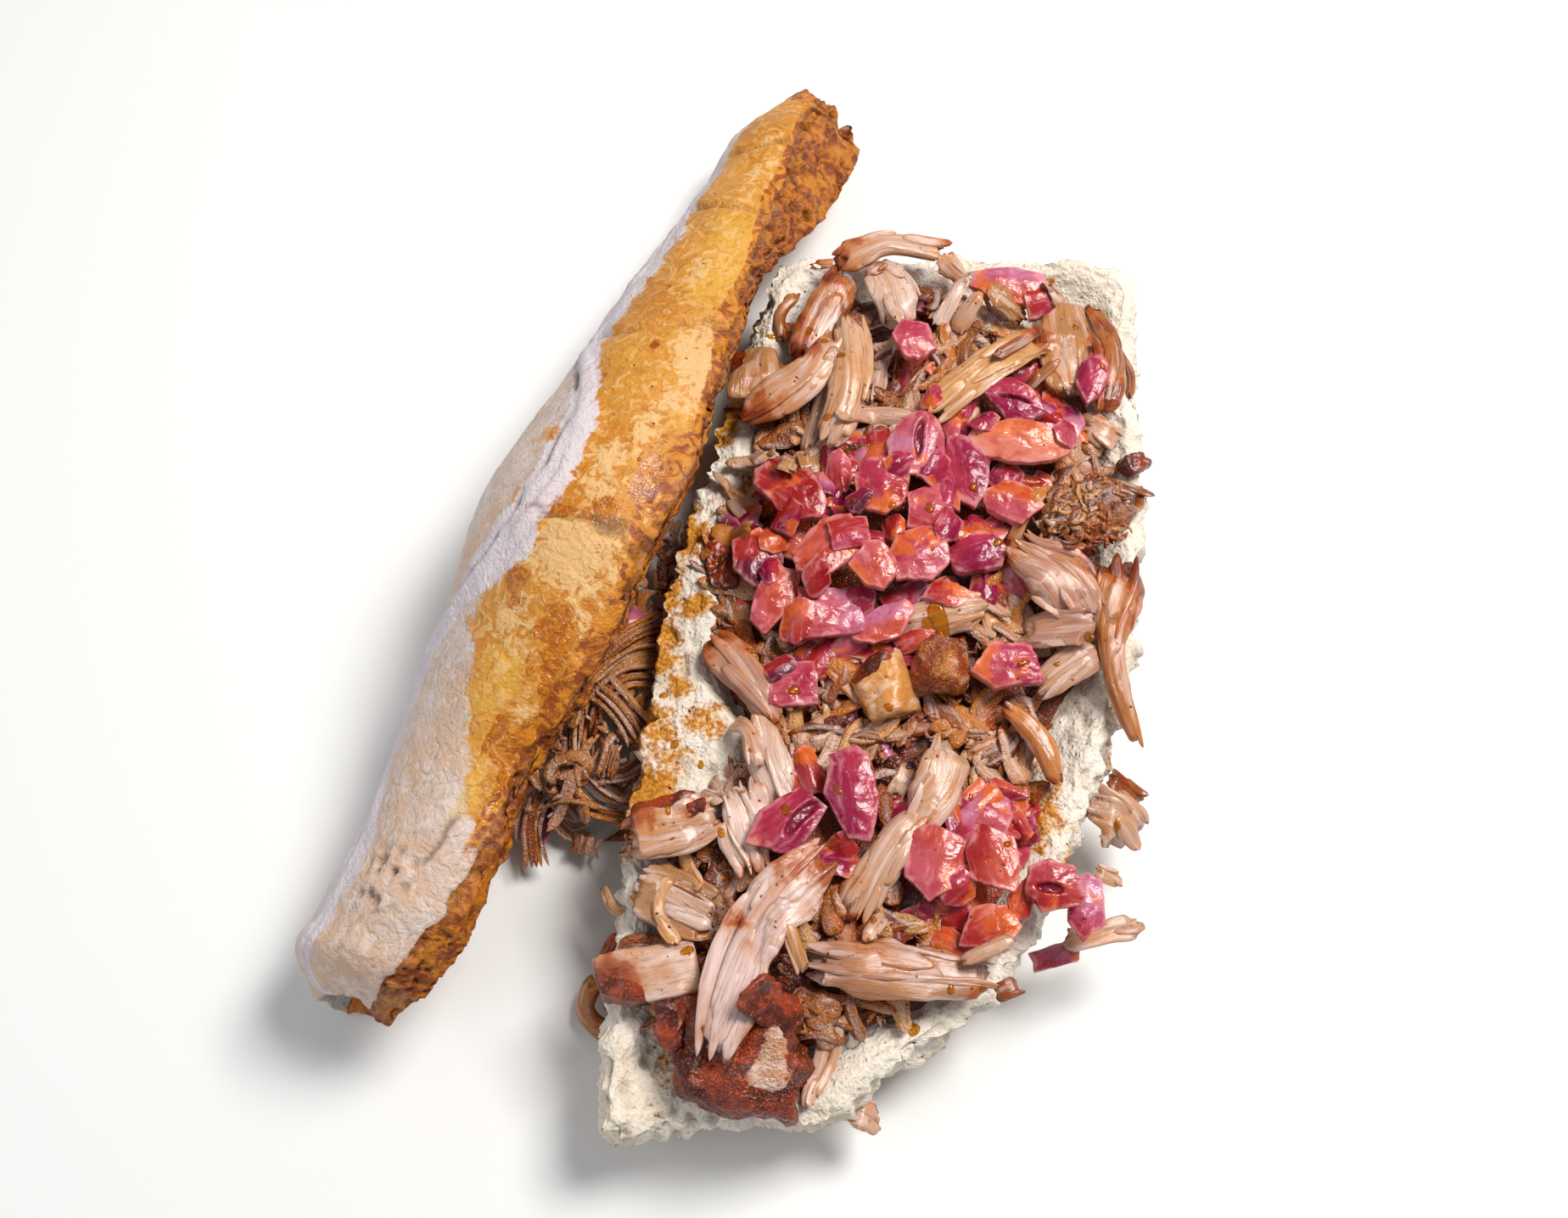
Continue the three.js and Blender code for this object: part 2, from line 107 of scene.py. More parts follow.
# %% Bumps and cells
def lattice(corner, seed):
    """A fixed number from 0 to 1 for every whole-number corner of space."""
    x, y, z = np.moveaxis(corner.astype(np.int64), -1, 0)
    mixed = (x * 73856093) ^ (y * 19349663) ^ (z * 83492791) ^ ((seed + 17) * 39916801)
    mixed = ((mixed ^ (mixed >> 13)) * 1274126177) & 0x7FFFFFFF
    mixed = ((mixed ^ (mixed >> 15)) * 668265263) & 0x7FFFFFFF
    return mixed / 0x7FFFFFFF


def bumps(places, size, seed=0):
    """Smooth unevenness from -1 to 1 at each place, in bumps of about that size."""
    spot = np.asarray(places, float) / size
    low = np.floor(spot).astype(np.int64)
    part = spot - low
    part = part * part * (3 - 2 * part)
    total = 0
    for corner in range(8):
        step = np.array([corner & 1, corner >> 1 & 1, corner >> 2])
        share = np.prod(np.where(step == 1, part, 1 - part), axis=-1)
        total = total + share * lattice(low + step, seed)
    return 2 * total - 1


def layered(places, size, seed=0, layers=3):
    """Bumps of one size with smaller bumps on them, from about -1 to 1."""
    total = 0
    for layer in range(layers):
        total = total + bumps(places, np.asarray(size) / 2.1**layer, seed + 31 * layer) / 2**layer
    return total / (2 - 0.5 ** (layers - 1)) * 1.25


def cells(places, size, seed=0):
    """Distance to the nearest of many scattered points that lie about size apart, in sizes."""
    spot = np.asarray(places, float) / size
    low = np.floor(spot).astype(np.int64)
    nearest = np.full(spot.shape[:-1], 9.0)
    for corner in range(27):
        step = np.array([corner % 3, corner // 3 % 3, corner // 9]) - 1
        cell = low + step
        point = cell + np.stack([lattice(cell, seed + k) for k in range(3)], -1)
        nearest = np.minimum(nearest, ((point - spot) ** 2).sum(-1))
    return np.sqrt(nearest)


def rise(low, high, value):
    """0 below low, 1 above high, smooth between."""
    part = np.clip((value - low) / (high - low), 0, 1)
    return part * part * (3 - 2 * part)


def glide(stations, values, at):
    """A smooth curve through a few stations."""
    stations = np.asarray(stations, float)
    values = np.asarray(values, float)
    slopes = np.gradient(values, stations)
    slot = np.clip(np.searchsorted(stations, at) - 1, 0, len(stations) - 2)
    gap = stations[slot + 1] - stations[slot]
    t = np.clip((at - stations[slot]) / gap, 0, 1)
    rest = 1 - t
    start = values[slot] * (1 + 2 * t) * rest**2 + slopes[slot] * gap * t * rest**2
    return start + values[slot + 1] * (3 - 2 * t) * t**2 - slopes[slot + 1] * gap * rest * t**2


def hump(value, wide):
    """1 where value is 0, and falling off evenly both ways over about that width."""
    return np.exp(-((value / wide) ** 2))


def together(*parts):
    """Places, or other rows of numbers, from their parts."""
    return np.stack(np.broadcast_arrays(*parts), -1)


def run_of(line):
    """How far along a line each of its points is."""
    return np.concatenate([[0], np.cumsum(np.linalg.norm(np.diff(line, axis=0), axis=1))])


# %% [markdown]
# ## Reading the construction, making meshes
# A piece starts from the corners and faces of its solid. Most pieces are then built from rings: a
# closed section is carried along a line, and each end is closed by a fan. A pile gathers many such
# closed shells into one mesh and keeps the values, such as tone or stain, that its material reads.

# %% Corners of a solid
def solid_of(node):
    """A solid's corners in millimetres, each once, and its triangles."""
    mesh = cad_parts[node].data
    places = np.empty(len(mesh.vertices) * 3)
    mesh.vertices.foreach_get("co", places)
    mesh.calc_loop_triangles()
    triangles = np.empty(len(mesh.loop_triangles) * 3, int)
    mesh.loop_triangles.foreach_get("vertices", triangles)
    places, back = np.unique(np.round(places.reshape(-1, 3) / MM, 3), axis=0, return_inverse=True)
    return places, back.reshape(-1)[triangles].reshape(-1, 3)


def surface_points(node, count):
    """Evenly spread points on a solid, with the way each faces."""
    places, triangles = solid_of(node)
    a, b, c = places[triangles.T]
    facing = np.cross(b - a, c - a)
    area = np.linalg.norm(facing, axis=1)
    choice = np.random.default_rng(len(node)).choice(len(area), count, p=area / area.sum())
    first, second = np.random.default_rng(7).random((2, count, 1))
    fold = first + second > 1
    first, second = np.where(fold, 1 - first, first), np.where(fold, 1 - second, second)
    points = a[choice] + first * (b - a)[choice] + second * (c - a)[choice]
    return points, facing[choice] / np.maximum(area[choice], 1e-9)[:, None]


# %% Shells and piles
def shell_of(rings):
    """Quads and end fans of a closed shell from rings (rows, sides, 3); its two hubs come last."""
    rows, sides = rings.shape[:2]
    grid = np.arange(rows * sides).reshape(rows, sides)
    here, after = grid[:-1], grid[1:]
    quads = np.stack([here, np.roll(here, -1, 1), np.roll(after, -1, 1), after], -1).reshape(-1, 4)
    near, far = rows * sides, rows * sides + 1
    first = np.stack([np.full(sides, near), np.roll(grid[0], -1), grid[0]], -1)
    last = np.stack([np.full(sides, far), grid[-1], np.roll(grid[-1], -1)], -1)
    return quads, np.concatenate([first, last])


def with_hubs(values):
    """Ring values as one list, followed by the two hubs' values."""
    flat = values.reshape(-1, *values.shape[2:])
    return np.concatenate([flat, values[:1].mean(1), values[-1:].mean(1)])


class Pile:
    """Closed shells that become one mesh, with named values at their corners."""

    def __init__(self):
        self.places, self.quads, self.fans, self.values, self.count = [], [], [], {}, 0

    def add(self, rings, **values):
        """Adds a closed shell; values are given for each place of the rings, or one for them all."""
        quads, fans = shell_of(rings)
        places = with_hubs(rings)
        a, b, c, d = places[quads.T]
        if np.einsum("ij,ij->i", np.cross(c - a, d - b), a).sum() < 0:
            quads, fans = quads[:, ::-1], fans[:, ::-1]
        self.places.append(places)
        self.quads.append(quads + self.count)
        self.fans.append(fans + self.count)
        for name, value in values.items():
            value = np.asarray(value, float)
            spread = value.shape[:2] == rings.shape[:2]
            whole = with_hubs(value) if spread else np.broadcast_to(value, (len(places), *value.shape))
            self.values.setdefault(name, []).append(whole)
        self.count += len(places)

    def piece(self, name, paint, slot, *nodes):
        """Makes the mesh, rides it on the sandwich and lets it stand for those nodes."""
        places = np.concatenate(self.places)
        quads, fans = np.concatenate(self.quads), np.concatenate(self.fans)
        mesh = bpy.data.meshes.new(name)
        mesh.vertices.add(len(places))
        mesh.vertices.foreach_set("co", (places * MM).astype(np.float32).ravel())
        corners = np.concatenate([quads.ravel(), fans.ravel()])
        mesh.loops.add(len(corners))
        mesh.loops.foreach_set("vertex_index", corners.astype(np.int32))
        starts = [4 * np.arange(len(quads)), quads.size + 3 * np.arange(len(fans))]
        mesh.polygons.add(len(quads) + len(fans))
        mesh.polygons.foreach_set("loop_start", np.concatenate(starts).astype(np.int32))
        mesh.update(calc_edges=True)
        mesh.polygons.foreach_set("use_smooth", np.ones(len(mesh.polygons), bool))
        for key, parts in self.values.items():
            value = np.concatenate(parts)
            kind = "FLOAT" if value.ndim == 1 else "FLOAT_VECTOR"
            layer = mesh.attributes.new(key, kind, "POINT")
            field = "value" if value.ndim == 1 else "vector"
            layer.data.foreach_set(field, value.astype(np.float32).ravel())
        mesh.materials.append(paint)
        made = bpy.data.objects.new(name, mesh)
        bpy.context.scene.collection.objects.link(made)
        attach(made, "root")
        if nodes:
            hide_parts(*nodes)
        TALLY[name] = 2 * len(quads) + len(fans)
        return made


TALLY = {}  # triangles in each piece

# %% [markdown]
# ## A small language for finishes
# A finish is a graph of shader nodes, which is long to write out. Here a wire stands for one output,
# and Python's own signs put Maths nodes between wires. Colours are blended with Mix nodes, and every
# other node comes from one method that takes its kind, its settings and what its sockets get.

# %% Wires and paints
def tone(red, green, blue):
    """A screen colour, 0 to 255, as the light values a shader takes."""
    channels = np.array([red, green, blue]) / 255
    return np.where(channels <= 0.04045, channels / 12.92, ((channels + 0.055) / 1.055) ** 2.4)


class Wire:
    """One output of a node, or a number's place in shader maths."""

    def __init__(self, paint, socket):
        self.paint, self.socket = paint, socket

    def __add__(self, other):
        return self.paint.maths("ADD", self, other)

    def __sub__(self, other):
        return self.paint.maths("SUBTRACT", self, other)

    def __rsub__(self, other):
        return self.paint.maths("SUBTRACT", other, self)

    def __mul__(self, other):
        return self.paint.maths("MULTIPLY", self, other)

    __radd__, __rmul__ = __add__, __mul__

    def rise(self, low, high):
        """0 below low, 1 above high, smooth between."""
        inputs = {"Value": self, "From Min": low, "From Max": high}
        return self.paint.node("ShaderNodeMapRange", {"interpolation_type": "SMOOTHSTEP"}, inputs, "Result")


class Paint:
    """A material that is being built."""

    def __init__(self, name):
        self.material = bpy.data.materials.new(name)
        self.material.use_nodes = True
        self.tree = self.material.node_tree
        self.shader = self.tree.nodes["Principled BSDF"]

    def node(self, kind, settings=None, inputs=None, output=0):
        """A node of that kind: its settings first, then its sockets, and one output as a wire."""
        made = self.tree.nodes.new(kind)
        for key, value in (settings or {}).items():
            setattr(made, key, value)
        for key, value in (inputs or {}).items():
            self.feed(made.inputs[key], value)
        return Wire(self, made.outputs[output])

    def feed(self, socket, value):
        if isinstance(value, Wire):
            self.tree.links.new(value.socket, socket)
        elif socket.type == "RGBA":
            socket.default_value = (*value, 1)
        else:
            socket.default_value = value

    def maths(self, operation, a, b):
        return self.node("ShaderNodeMath", {"operation": operation}, {0: a, 1: b})

    def blend(self, share, first, second, way="MIX"):
        """The first colour where share is 0 and the second where it is 1."""
        settings = {"data_type": "RGBA", "blend_type": way}
        return self.node("ShaderNodeMix", settings, {0: share, 6: first, 7: second}, 2)

    def read(self, name, output="Fac"):
        """A value that the mesh carries."""
        return self.node("ShaderNodeAttribute", {"attribute_name": name}, None, output)

    def where(self):
        """The place on the object, in metres."""
        return self.node("ShaderNodeTexCoord", None, None, "Object")

    def grain(self, scale, detail=3.0, spot=None, rough=0.55, warp=0.0):
        """Fine unevenness from 0 to 1, with about that many bumps in a metre."""
        inputs = {"Scale": scale, "Detail": detail, "Roughness": rough, "Distortion": warp}
        inputs["Vector"] = spot or self.where()
        return self.node("ShaderNodeTexNoise", None, inputs, "Fac")

    def pores(self, scale, spot=None, feature="F1"):
        """Distance to the nearest of scattered points, for pores and grains."""
        inputs = {"Scale": scale, "Vector": spot or self.where()}
        return self.node("ShaderNodeTexVoronoi", {"feature": feature}, inputs, "Distance")

    def stretched(self, vector, factors):
        """A vector scaled by different factors each way."""
        return self.node("ShaderNodeVectorMath", {"operation": "MULTIPLY"}, {0: vector, 1: factors})

    def relief(self, height, depth, under=None):
        """Fine relief of that depth in metres, on top of another."""
        inputs = {"Height": height, "Distance": depth, "Strength": 1.0}
        if under:
            inputs["Normal"] = under
        return self.node("ShaderNodeBump", None, inputs, "Normal")

    def finish(self, changing, **fixed):
        """Sets the surface: what changes over it by name, and what is the same all over."""
        for key, value in changing.items():
            self.feed(self.shader.inputs[key], value)
        for key, value in fixed.items():
            self.feed(self.shader.inputs[key.replace("_", " ")], value)
        return self.material


# %% Table top
def floor_paint():
    return Paint("table").finish({}, Base_Color=tone(241, 241, 240), Roughness=0.85)


bpy.ops.mesh.primitive_plane_add(size=6, location=(0, 0, 0))
floor = bpy.context.object
floor.name = "table_top"
floor.data.materials.append(floor_paint())
# light that has turned a corner twice is too weak to see between the pieces, so it is let go
paths = bpy.context.scene.cycles
paths.max_bounces = 6
paths.diffuse_bounces = 2
paths.glossy_bounces = 2
print("bounces of light:", paths.max_bounces)

# %% [markdown]
# ## The crumb's relief
# Bread that is torn open shows walls and holes of every size, and its walls are ragged. One function
# gives that relief in millimetres: broad tears, ragged walls and scattered pores that bite inwards.

# %% Torn crumb
def torn_crumb(places, seed):
    """How far torn crumb stands proud at each place, and how deep inside a pore it is."""
    broad = 0.9 * layered(places, 9.0, seed, 2)
    ragged = 0.75 * (np.abs(layered(places, 3.2, seed + 3, 3)) - 0.35)
    hole = rise(0.46, 0.12, cells(places, 4.6, seed + 5)) * rise(-0.3, 0.25, bumps(places, 17.0, seed + 7))
    small = rise(0.42, 0.1, cells(places, 2.1, seed + 9))
    pore = np.maximum(hole, 0.6 * small)
    return broad + ragged - 1.7 * hole - 0.6 * small, pore


# %% [markdown]
# ## The lid
# The upper half of the loaf stands on its long lower edge, so its golden dome faces up and left and
# its torn face leans over the filling. Its sections come from the solid: at each station along it
# the width of the cut face, the depth of the dome, where its foot is and how much torn crumb hangs
# under its edge. A smooth curve through those stations gives hundreds of fine sections, and creases,
# the floury fold, tears and wrinkles are then pushed into that surface.

# %% The lid's sections
HOME = np.array([-1.695, -16.770])  # the point of the heel that the measured places are given from
LID_YAW = math.radians(21.5)  # its length is turned this much from +Y
LID_LEAN = math.radians(60)  # its cut face leans at this angle
lid_length = np.array([math.sin(LID_YAW), math.cos(LID_YAW), 0])
lid_right = np.array([math.cos(LID_YAW), -math.sin(LID_YAW), 0])
lid_up = lid_right * math.cos(LID_LEAN) + np.array([0, 0, math.sin(LID_LEAN)])
lid_out = np.array([0, 0, math.cos(LID_LEAN)]) - lid_right * math.sin(LID_LEAN)


def lid_stations():
    """At each station of the lid: its place along, the foot, the face, the dome and the torn depth."""
    places, _ = solid_of("bread_lid")
    along = places @ lid_length
    order = np.argsort(along)
    groups = np.split(order, np.nonzero(np.diff(along[order]) > 1)[0] + 1)
    rows = []
    for group in groups:
        ring = places[group]
        foot = ring[ring[:, 2].argmin()]
        up, out = (ring - foot) @ lid_up, (ring - foot) @ lid_out
        rows.append([along[group].mean(), foot @ lid_right, foot[2], up.max(), out.max(), -out.min()])
    return np.array(rows).T


stations = lid_stations()
LID_ROWS = 310
LID_CRUST, LID_TEAR, LID_FACE, LID_FOOT = 124, 16, 34, 8  # places round the four parts of a section
# along, and the share of the solid's torn depth that is left there
TORN_DEPTH = ([-110, -92, -80, -60, -45, 0, 30, 50, 72, 85, 100, 115],
              [1, 0.8, 0.6, 0.5, 0.8, 1, 0.5, 0.25, 0.22, 0.4, 0.8, 1])
print("lid: stations", len(stations[0]), "length", round(float(np.ptp(stations[0]))), "mm")


def lid_grid():
    """Fine sections of the lid, with how far along and how far round each place is."""
    spot = np.linspace(0, 1, LID_ROWS)
    # more sections near the two torn ends
    spot = spot - 0.055 * np.sin(2 * np.pi * spot)
    along = stations[0][0] + spot * np.ptp(stations[0])
    foot, low, face, dome, torn = (glide(stations[0], row, along)[:, None] for row in stations[1:])
    torn = torn * glide(*TORN_DEPTH, along - HOME @ lid_length[:2])[:, None]
    angle = np.pi * (1 - np.arange(LID_CRUST) / LID_CRUST)
    up = [face * (0.5 + 0.5 * np.cos(angle))]
    out = [dome * np.sin(angle) ** 0.85]
    share = [np.arange(LID_CRUST) / LID_CRUST + 0 * face]
    for count, start, end, part in (
        (LID_TEAR, (face, 0 * face), (face - 2.5, -torn), 1),
        (LID_FACE, (face - 2.5, -torn), (face * 0.25, -0.35 * torn), 2),
        (LID_FOOT, (face * 0.25, -0.35 * torn), (0 * face, 0 * face), 3),
    ):
        t = np.arange(count) / count
        up.append(start[0] + (end[0] - start[0]) * t)
        out.append(start[1] + (end[1] - start[1]) * t)
        share.append(part + t + 0 * face)
    up, out, share = (np.concatenate(parts, 1) for parts in (up, out, share))
    middle = along[:, None, None] * lid_length + (foot[:, :, None] * lid_right)
    middle = middle + low[:, :, None] * np.array([0, 0, 1.0])
    return middle + up[:, :, None] * lid_up + out[:, :, None] * lid_out, along[:, None] + 0 * share, share


def outward(rings):
    """The way a closed sleeve of rings faces at each place."""
    along = np.gradient(rings, axis=0)
    round_ = np.roll(rings, -1, 1) - np.roll(rings, 1, 1)
    facing = np.cross(along, round_)
    facing /= np.maximum(np.linalg.norm(facing, axis=-1, keepdims=True), 1e-9)
    middle = rings.mean(1, keepdims=True)
    return facing if ((rings - middle) * facing).sum() > 0 else -facing


def pushed(rings, height):
    """Rings moved outwards by the height at each place."""
    return rings + outward(rings) * height[:, :, None]


# %% [markdown]
# ## What has happened to the lid's crust
# Each mark is a field over the surface: how far along the lid and how far round from the foot (0) to
# the upper edge (1). Creases cross the dome where the loaf was scored, a floury fold runs along its
# back, the upper edge is torn, orange cooking oil has soaked in near that edge, and the nearer
# third was baked pale.

# %% Marks on the lid
CREASES = [  # along at the back, along at the edge, depth, half width
    (90, 91.5, 1.3, 1),
    (44, 53, 1.2, 1.1),
    (111, 117, 0.9, 1.3),
]
OIL_SPOTS = [  # along, round, reach along, reach round, strength
    (-4.5, 0.79, 4.5, 0.065, 1.15), (-2, 0.88, 4.5, 0.05, 0.9), (9, 0.945, 12, 0.035, 1),
    (-22, 0.76, 5, 0.06, 1.15), (-27, 0.87, 5, 0.04, 1.1), (-34, 0.91, 9, 0.04, 1.05),
    (-45, 0.94, 12, 0.05, 1.15), (-50, 0.87, 5, 0.025, 0.9), (-38, 0.85, 6, 0.02, 0.7),
    (48, 0.975, 5, 0.035, 0.9), (-60, 0.965, 8, 0.035, 0.95), (28, 0.70, 14, 0.03, 0.45),
]
# paler blistered crust, whose fine speckles in the finish are painted highlights of wet micro-blisters
PEACH_SPOTS = [  # paler blistered crust
    (40, 0.93, 13, 0.075, 0.95), (23, 0.88, 9, 0.06, 0.75), (12, 0.84, 8, 0.055, 0.8),
    (3, 0.86, 7, 0.05, 0.7), (-12, 0.86, 9, 0.11, 0.95), (-25, 0.77, 6, 0.05, 0.8),
    (68, 0.79, 9, 0.05, 0.55), (100, 0.80, 12, 0.06, 0.5), (-33, 0.82, 6, 0.05, 0.6),
    (-22, 0.92, 5, 0.035, 0.7), (-43, 0.89, 4, 0.03, 0.65), (53, 0.90, 4, 0.05, 0.7),
]
YELLOW_SPOTS = [  # brighter yellow crust
    (74, 0.87, 22, 0.13, 1), (38, 0.74, 12, 0.05, 0.6), (24, 0.93, 8, 0.04, 0.7),
    (-12, 0.86, 4, 0.04, 0.5), (-41, 0.80, 10, 0.065, 1), (-60, 0.87, 13, 0.055, 0.8),
    (112, 0.72, 10, 0.08, 0.5),
]
FOLD = ([-110, -85, -77, -68, -58, -47, -37, -26, -15, -10, -3, 4, 11, 21, 29, 45, 76, 94, 107, 140],
        [0.55, 0.54, 0.52, 0.46, 0.41, 0.41, 0.43, 0.54, 0.65, 0.68, 0.71, 0.73, 0.715, 0.69, 0.64,
         0.50, 0.50, 0.45, 0.39, 0.36])
FOLD_WIDTH = ([-110, -77, -58, -37, -26, -15, -10, 4, 21, 29, 45, 76, 107, 140],
              [0.06, 0.085, 0.08, 0.08, 0.07, 0.10, 0.07, 0.055, 0.045, 0.045, 0.09, 0.11, 0.09, 0.06])
TORN_FROM = ([-110, -100, -90, -72, -50, 0, 45, 70, 110, 125, 140],
             [0.93, 0.95, 0.955, 0.965, 0.985, 0.99, 0.98, 0.955, 0.925, 0.89, 0.86])
GOLD_FROM = ([-110, -72, -66, -54, -44, -30, -10, 20, 140],
             [1.05, 1, 0.90, 0.82, 0.72, 0.66, 0.66, 0.62, 0.52])


DOME_ROUND = 92  # millimetres round the dome, from its foot to the upper edge
FOOT_FROM = 3.3  # from here on round, a section is the crust of the foot again


def spotted(spots, along, share):
    """The strongest of several soft spots at each place of the lid."""
    total = np.zeros(share.shape)
    for at, round_, reach, wide, strength in spots:
        gap = ((along - at) / reach) ** 2 + ((share - round_) / wide) ** 2
        total = np.maximum(total, strength * np.exp(-gap))
    return total


def lid_marks(places, along, share):
    """The height and the finish fields of the lid's surface."""
    along = along - HOME @ lid_length[:2]
    shiver = layered(places, 7.0, 3, 3)
    ragged = layered(places, 2.4, 5, 3)
    on_crust = share < 1
    edge = glide(*TORN_FROM, along) + 0.016 * shiver + 0.018 * ragged
    crumb = np.where(on_crust, rise(-0.004, 0.004, share - edge), 1.0)
    crumb = np.where(share >= FOOT_FROM, 0.0, crumb)
    relief, pore = torn_crumb(places, 40)
    # the dome: broad swells, creases, a lapped step, the fold and fine wrinkles
    height = layered(places, 34.0, 9, 2)
    scored = np.zeros(share.shape)
    for back, front, depth, width in CREASES:
        gap = along - back - (front - back) * rise(0.6, 0.95, share) + 1.6 * shiver
        inside = rise(0.5, 0.62, share) * rise(1.02, 0.94, share)
        height += inside * (0.9 * hump(gap, 9) - depth * 1.7 * hump(gap, width))
        scored = np.maximum(scored, 0.7 * inside * hump(gap, 0.55 * width))
    lap = along + 7.0 + 2.6 * shiver - 2.5 * rise(0.74, 0.9, share) + 5.0 * rise(0.93, 0.97, share)
    lapped = rise(0.66, 0.74, share) * rise(0.999, 0.96, share)
    height += lapped * 1.7 * rise(0.5, -0.5, lap) * np.exp(-np.maximum(-lap, 0) / 16)
    crack = hump(lap - 0.9, 0.7) * lapped
    fold = (share - glide(*FOLD, along) + 0.006 * shiver) * DOME_ROUND
    folded = rise(-70, -20, along) * rise(60, 35, along)
    groove = hump(fold + 3.4, 0.9) * rise(0.45, 0.1, np.abs(shiver)) * folded
    height += folded * 0.9 * hump(fold, 3.2) - 1.7 * groove
    lines = bumps(together(along * 0.09, fold * 0.42, 0), 1.0, 12)
    height += 0.45 * lines * hump(fold, 9)
    height += 0.24 * ragged + (0.12 + 0.2 * rise(-70, -20, along)) * bumps(places, 5.5, 14)
    flour = rise(1.45, 0.75, np.abs(share - glide(*FOLD, along)) / glide(*FOLD_WIDTH, along) + 0.35 * shiver)
    flour = flour * (0.9 + 0.3 * ragged)
    # pores and tears in the pale end
    burst = np.exp(-(((along + 83) / 6) ** 2) - (((share - 0.74) / 0.085) ** 2))
    holes = burst * rise(0.52, 0.34, cells(places, 3.2, 21))
    height -= 2.2 * holes
    split = hump((share - 0.82 - 0.004 * (along + 80) + 0.02 * shiver) * DOME_ROUND, 0.9)
    split *= rise(-101, -98, along) * rise(-60, -63, along) * rise(-0.1, 0.25, bumps(places, 9.0, 23))
    height -= 0.7 * split
    gold = rise(-0.05, 0.06, share - glide(*GOLD_FROM, along) + 0.05 * shiver)
    drift = along + 4.5 * layered(places, 8.0, 71, 3)
    sway = share + 0.04 * layered(places, 7.0, 73, 3)
    oil, peach, yellow = (spotted(spots, drift, sway) for spots in (OIL_SPOTS, PEACH_SPOTS, YELLOW_SPOTS))
    band = 0.05 + 0.02 * np.sin(along / 7.0) + 0.02 * ragged
    rim = rise(1.0, 0.55, (edge - share) / band) * on_crust * rise(-80, -66, along)
    rim = np.maximum(rim, 0.9 * on_crust * rise(131.5, 134.0, along + 2.0 * ragged) * rise(0.4, 0.6, share))
    lapped_over = rise(1.3, 0.7, ((along + 12.0) / 8.0) ** 2 + ((share - 0.86) / 0.10) ** 2)
    oil = np.where(on_crust, oil * (1 - 0.7 * lapped_over), 0)
    height += 0.5 * rim * layered(places, 2.0, 61, 2)
    height -= 0.25 * rise(0.6, 0.9, oil) * on_crust
    ends = np.maximum(rise(45, 80, along), rise(-60, -84, along))
    under = rise(9, 0, (share - 1) * 10)
    stain = np.clip(crumb * (0.35 + 0.75 * ends + 0.5 * layered(places, 11.0, 31, 2)), 0, 1.2)
    stain = np.maximum(stain, crumb * (0.85 + 0.3 * under) * rise(-98, -88, along))
    height = np.where(crumb > 0.5, 1.6 * relief - 0.6, height)
    # painted shade: the dark field darkens the crust in the fold's groove, the crack of the lapped step, the
    # burst pores, the splits and the creases, and the torn crumb just under the crust's edge, where the
    # crust overhangs it
    shaded = 0.6 * crumb * rise(0.035, 0.0, share - edge)
    dark = np.clip(np.maximum.reduce([groove, crack, 1.3 * holes, split, scored, shaded]), 0, 1)
    pore = pore * crumb
    return height, dict(
        crumb=crumb, gold=gold, oil=oil, flour=flour, stain=stain, dark=dark, pore=pore, rim=rim,
        peach=peach * on_crust, yellow=yellow * on_crust,
    )


# %% Build the lid
def lid_mesh():
    rings, along, share = lid_grid()
    height, fields = lid_marks(rings, along, share)
    rings = pushed(rings, height)
    # the ends are torn to ragged lips
    lips = layered(rings, 6.0, 51, 3)
    far = rise(stations[0][-1] - 9, stations[0][-1], along)
    near = rise(stations[0][0] + 7, stations[0][0], along)
    crown = far * (1.0 + 3.4 * hump(share - 0.66, 0.12))
    push = crown + 3.2 * far * np.minimum(lips, 0.35) + 2.2 * near * lips
    rings = rings + push[:, :, None] * lid_length
    # each end closes in rings towards its middle, sunk a little where crumb was torn away
    caps = []
    for row, way in ((0, 1.0), (-1, -1.0)):
        hub = rings[row].mean(0)
        steps = np.linspace(0, 0.94, 16)[1:, None, None]
        cap = rings[row] + steps * (hub - rings[row])
        relief, pore = torn_crumb(cap, 60)
        sunk = 3.0 * rise(0, 0.5, steps) + rise(0, 0.15, steps) * relief[:, :, None]
        cap = cap + way * sunk * lid_length
        caps.append((cap, pore))
    whole = np.concatenate([caps[0][0][::-1], rings, caps[1][0]])
    rows = len(caps[0][0])
    spread = {}
    for key, value in fields.items():
        ends = [np.full((rows, value.shape[1]), {"crumb": 1.0, "stain": 0.75}.get(key, 0.0)) for _ in caps]
        if key == "stain":
            ends[0] = np.tile(0.1 + 0.85 * rise(0.6, 0.9, share[0]), (rows, 1))
        if key == "pore":
            ends = [cap[1] for cap in caps]
        spread[key] = np.concatenate([ends[0][::-1], value, ends[1]])
    whole[:, :, 2] = np.maximum(whole[:, :, 2], 0.1)
    pile = Pile()
    pile.add(whole, **spread)
    return pile


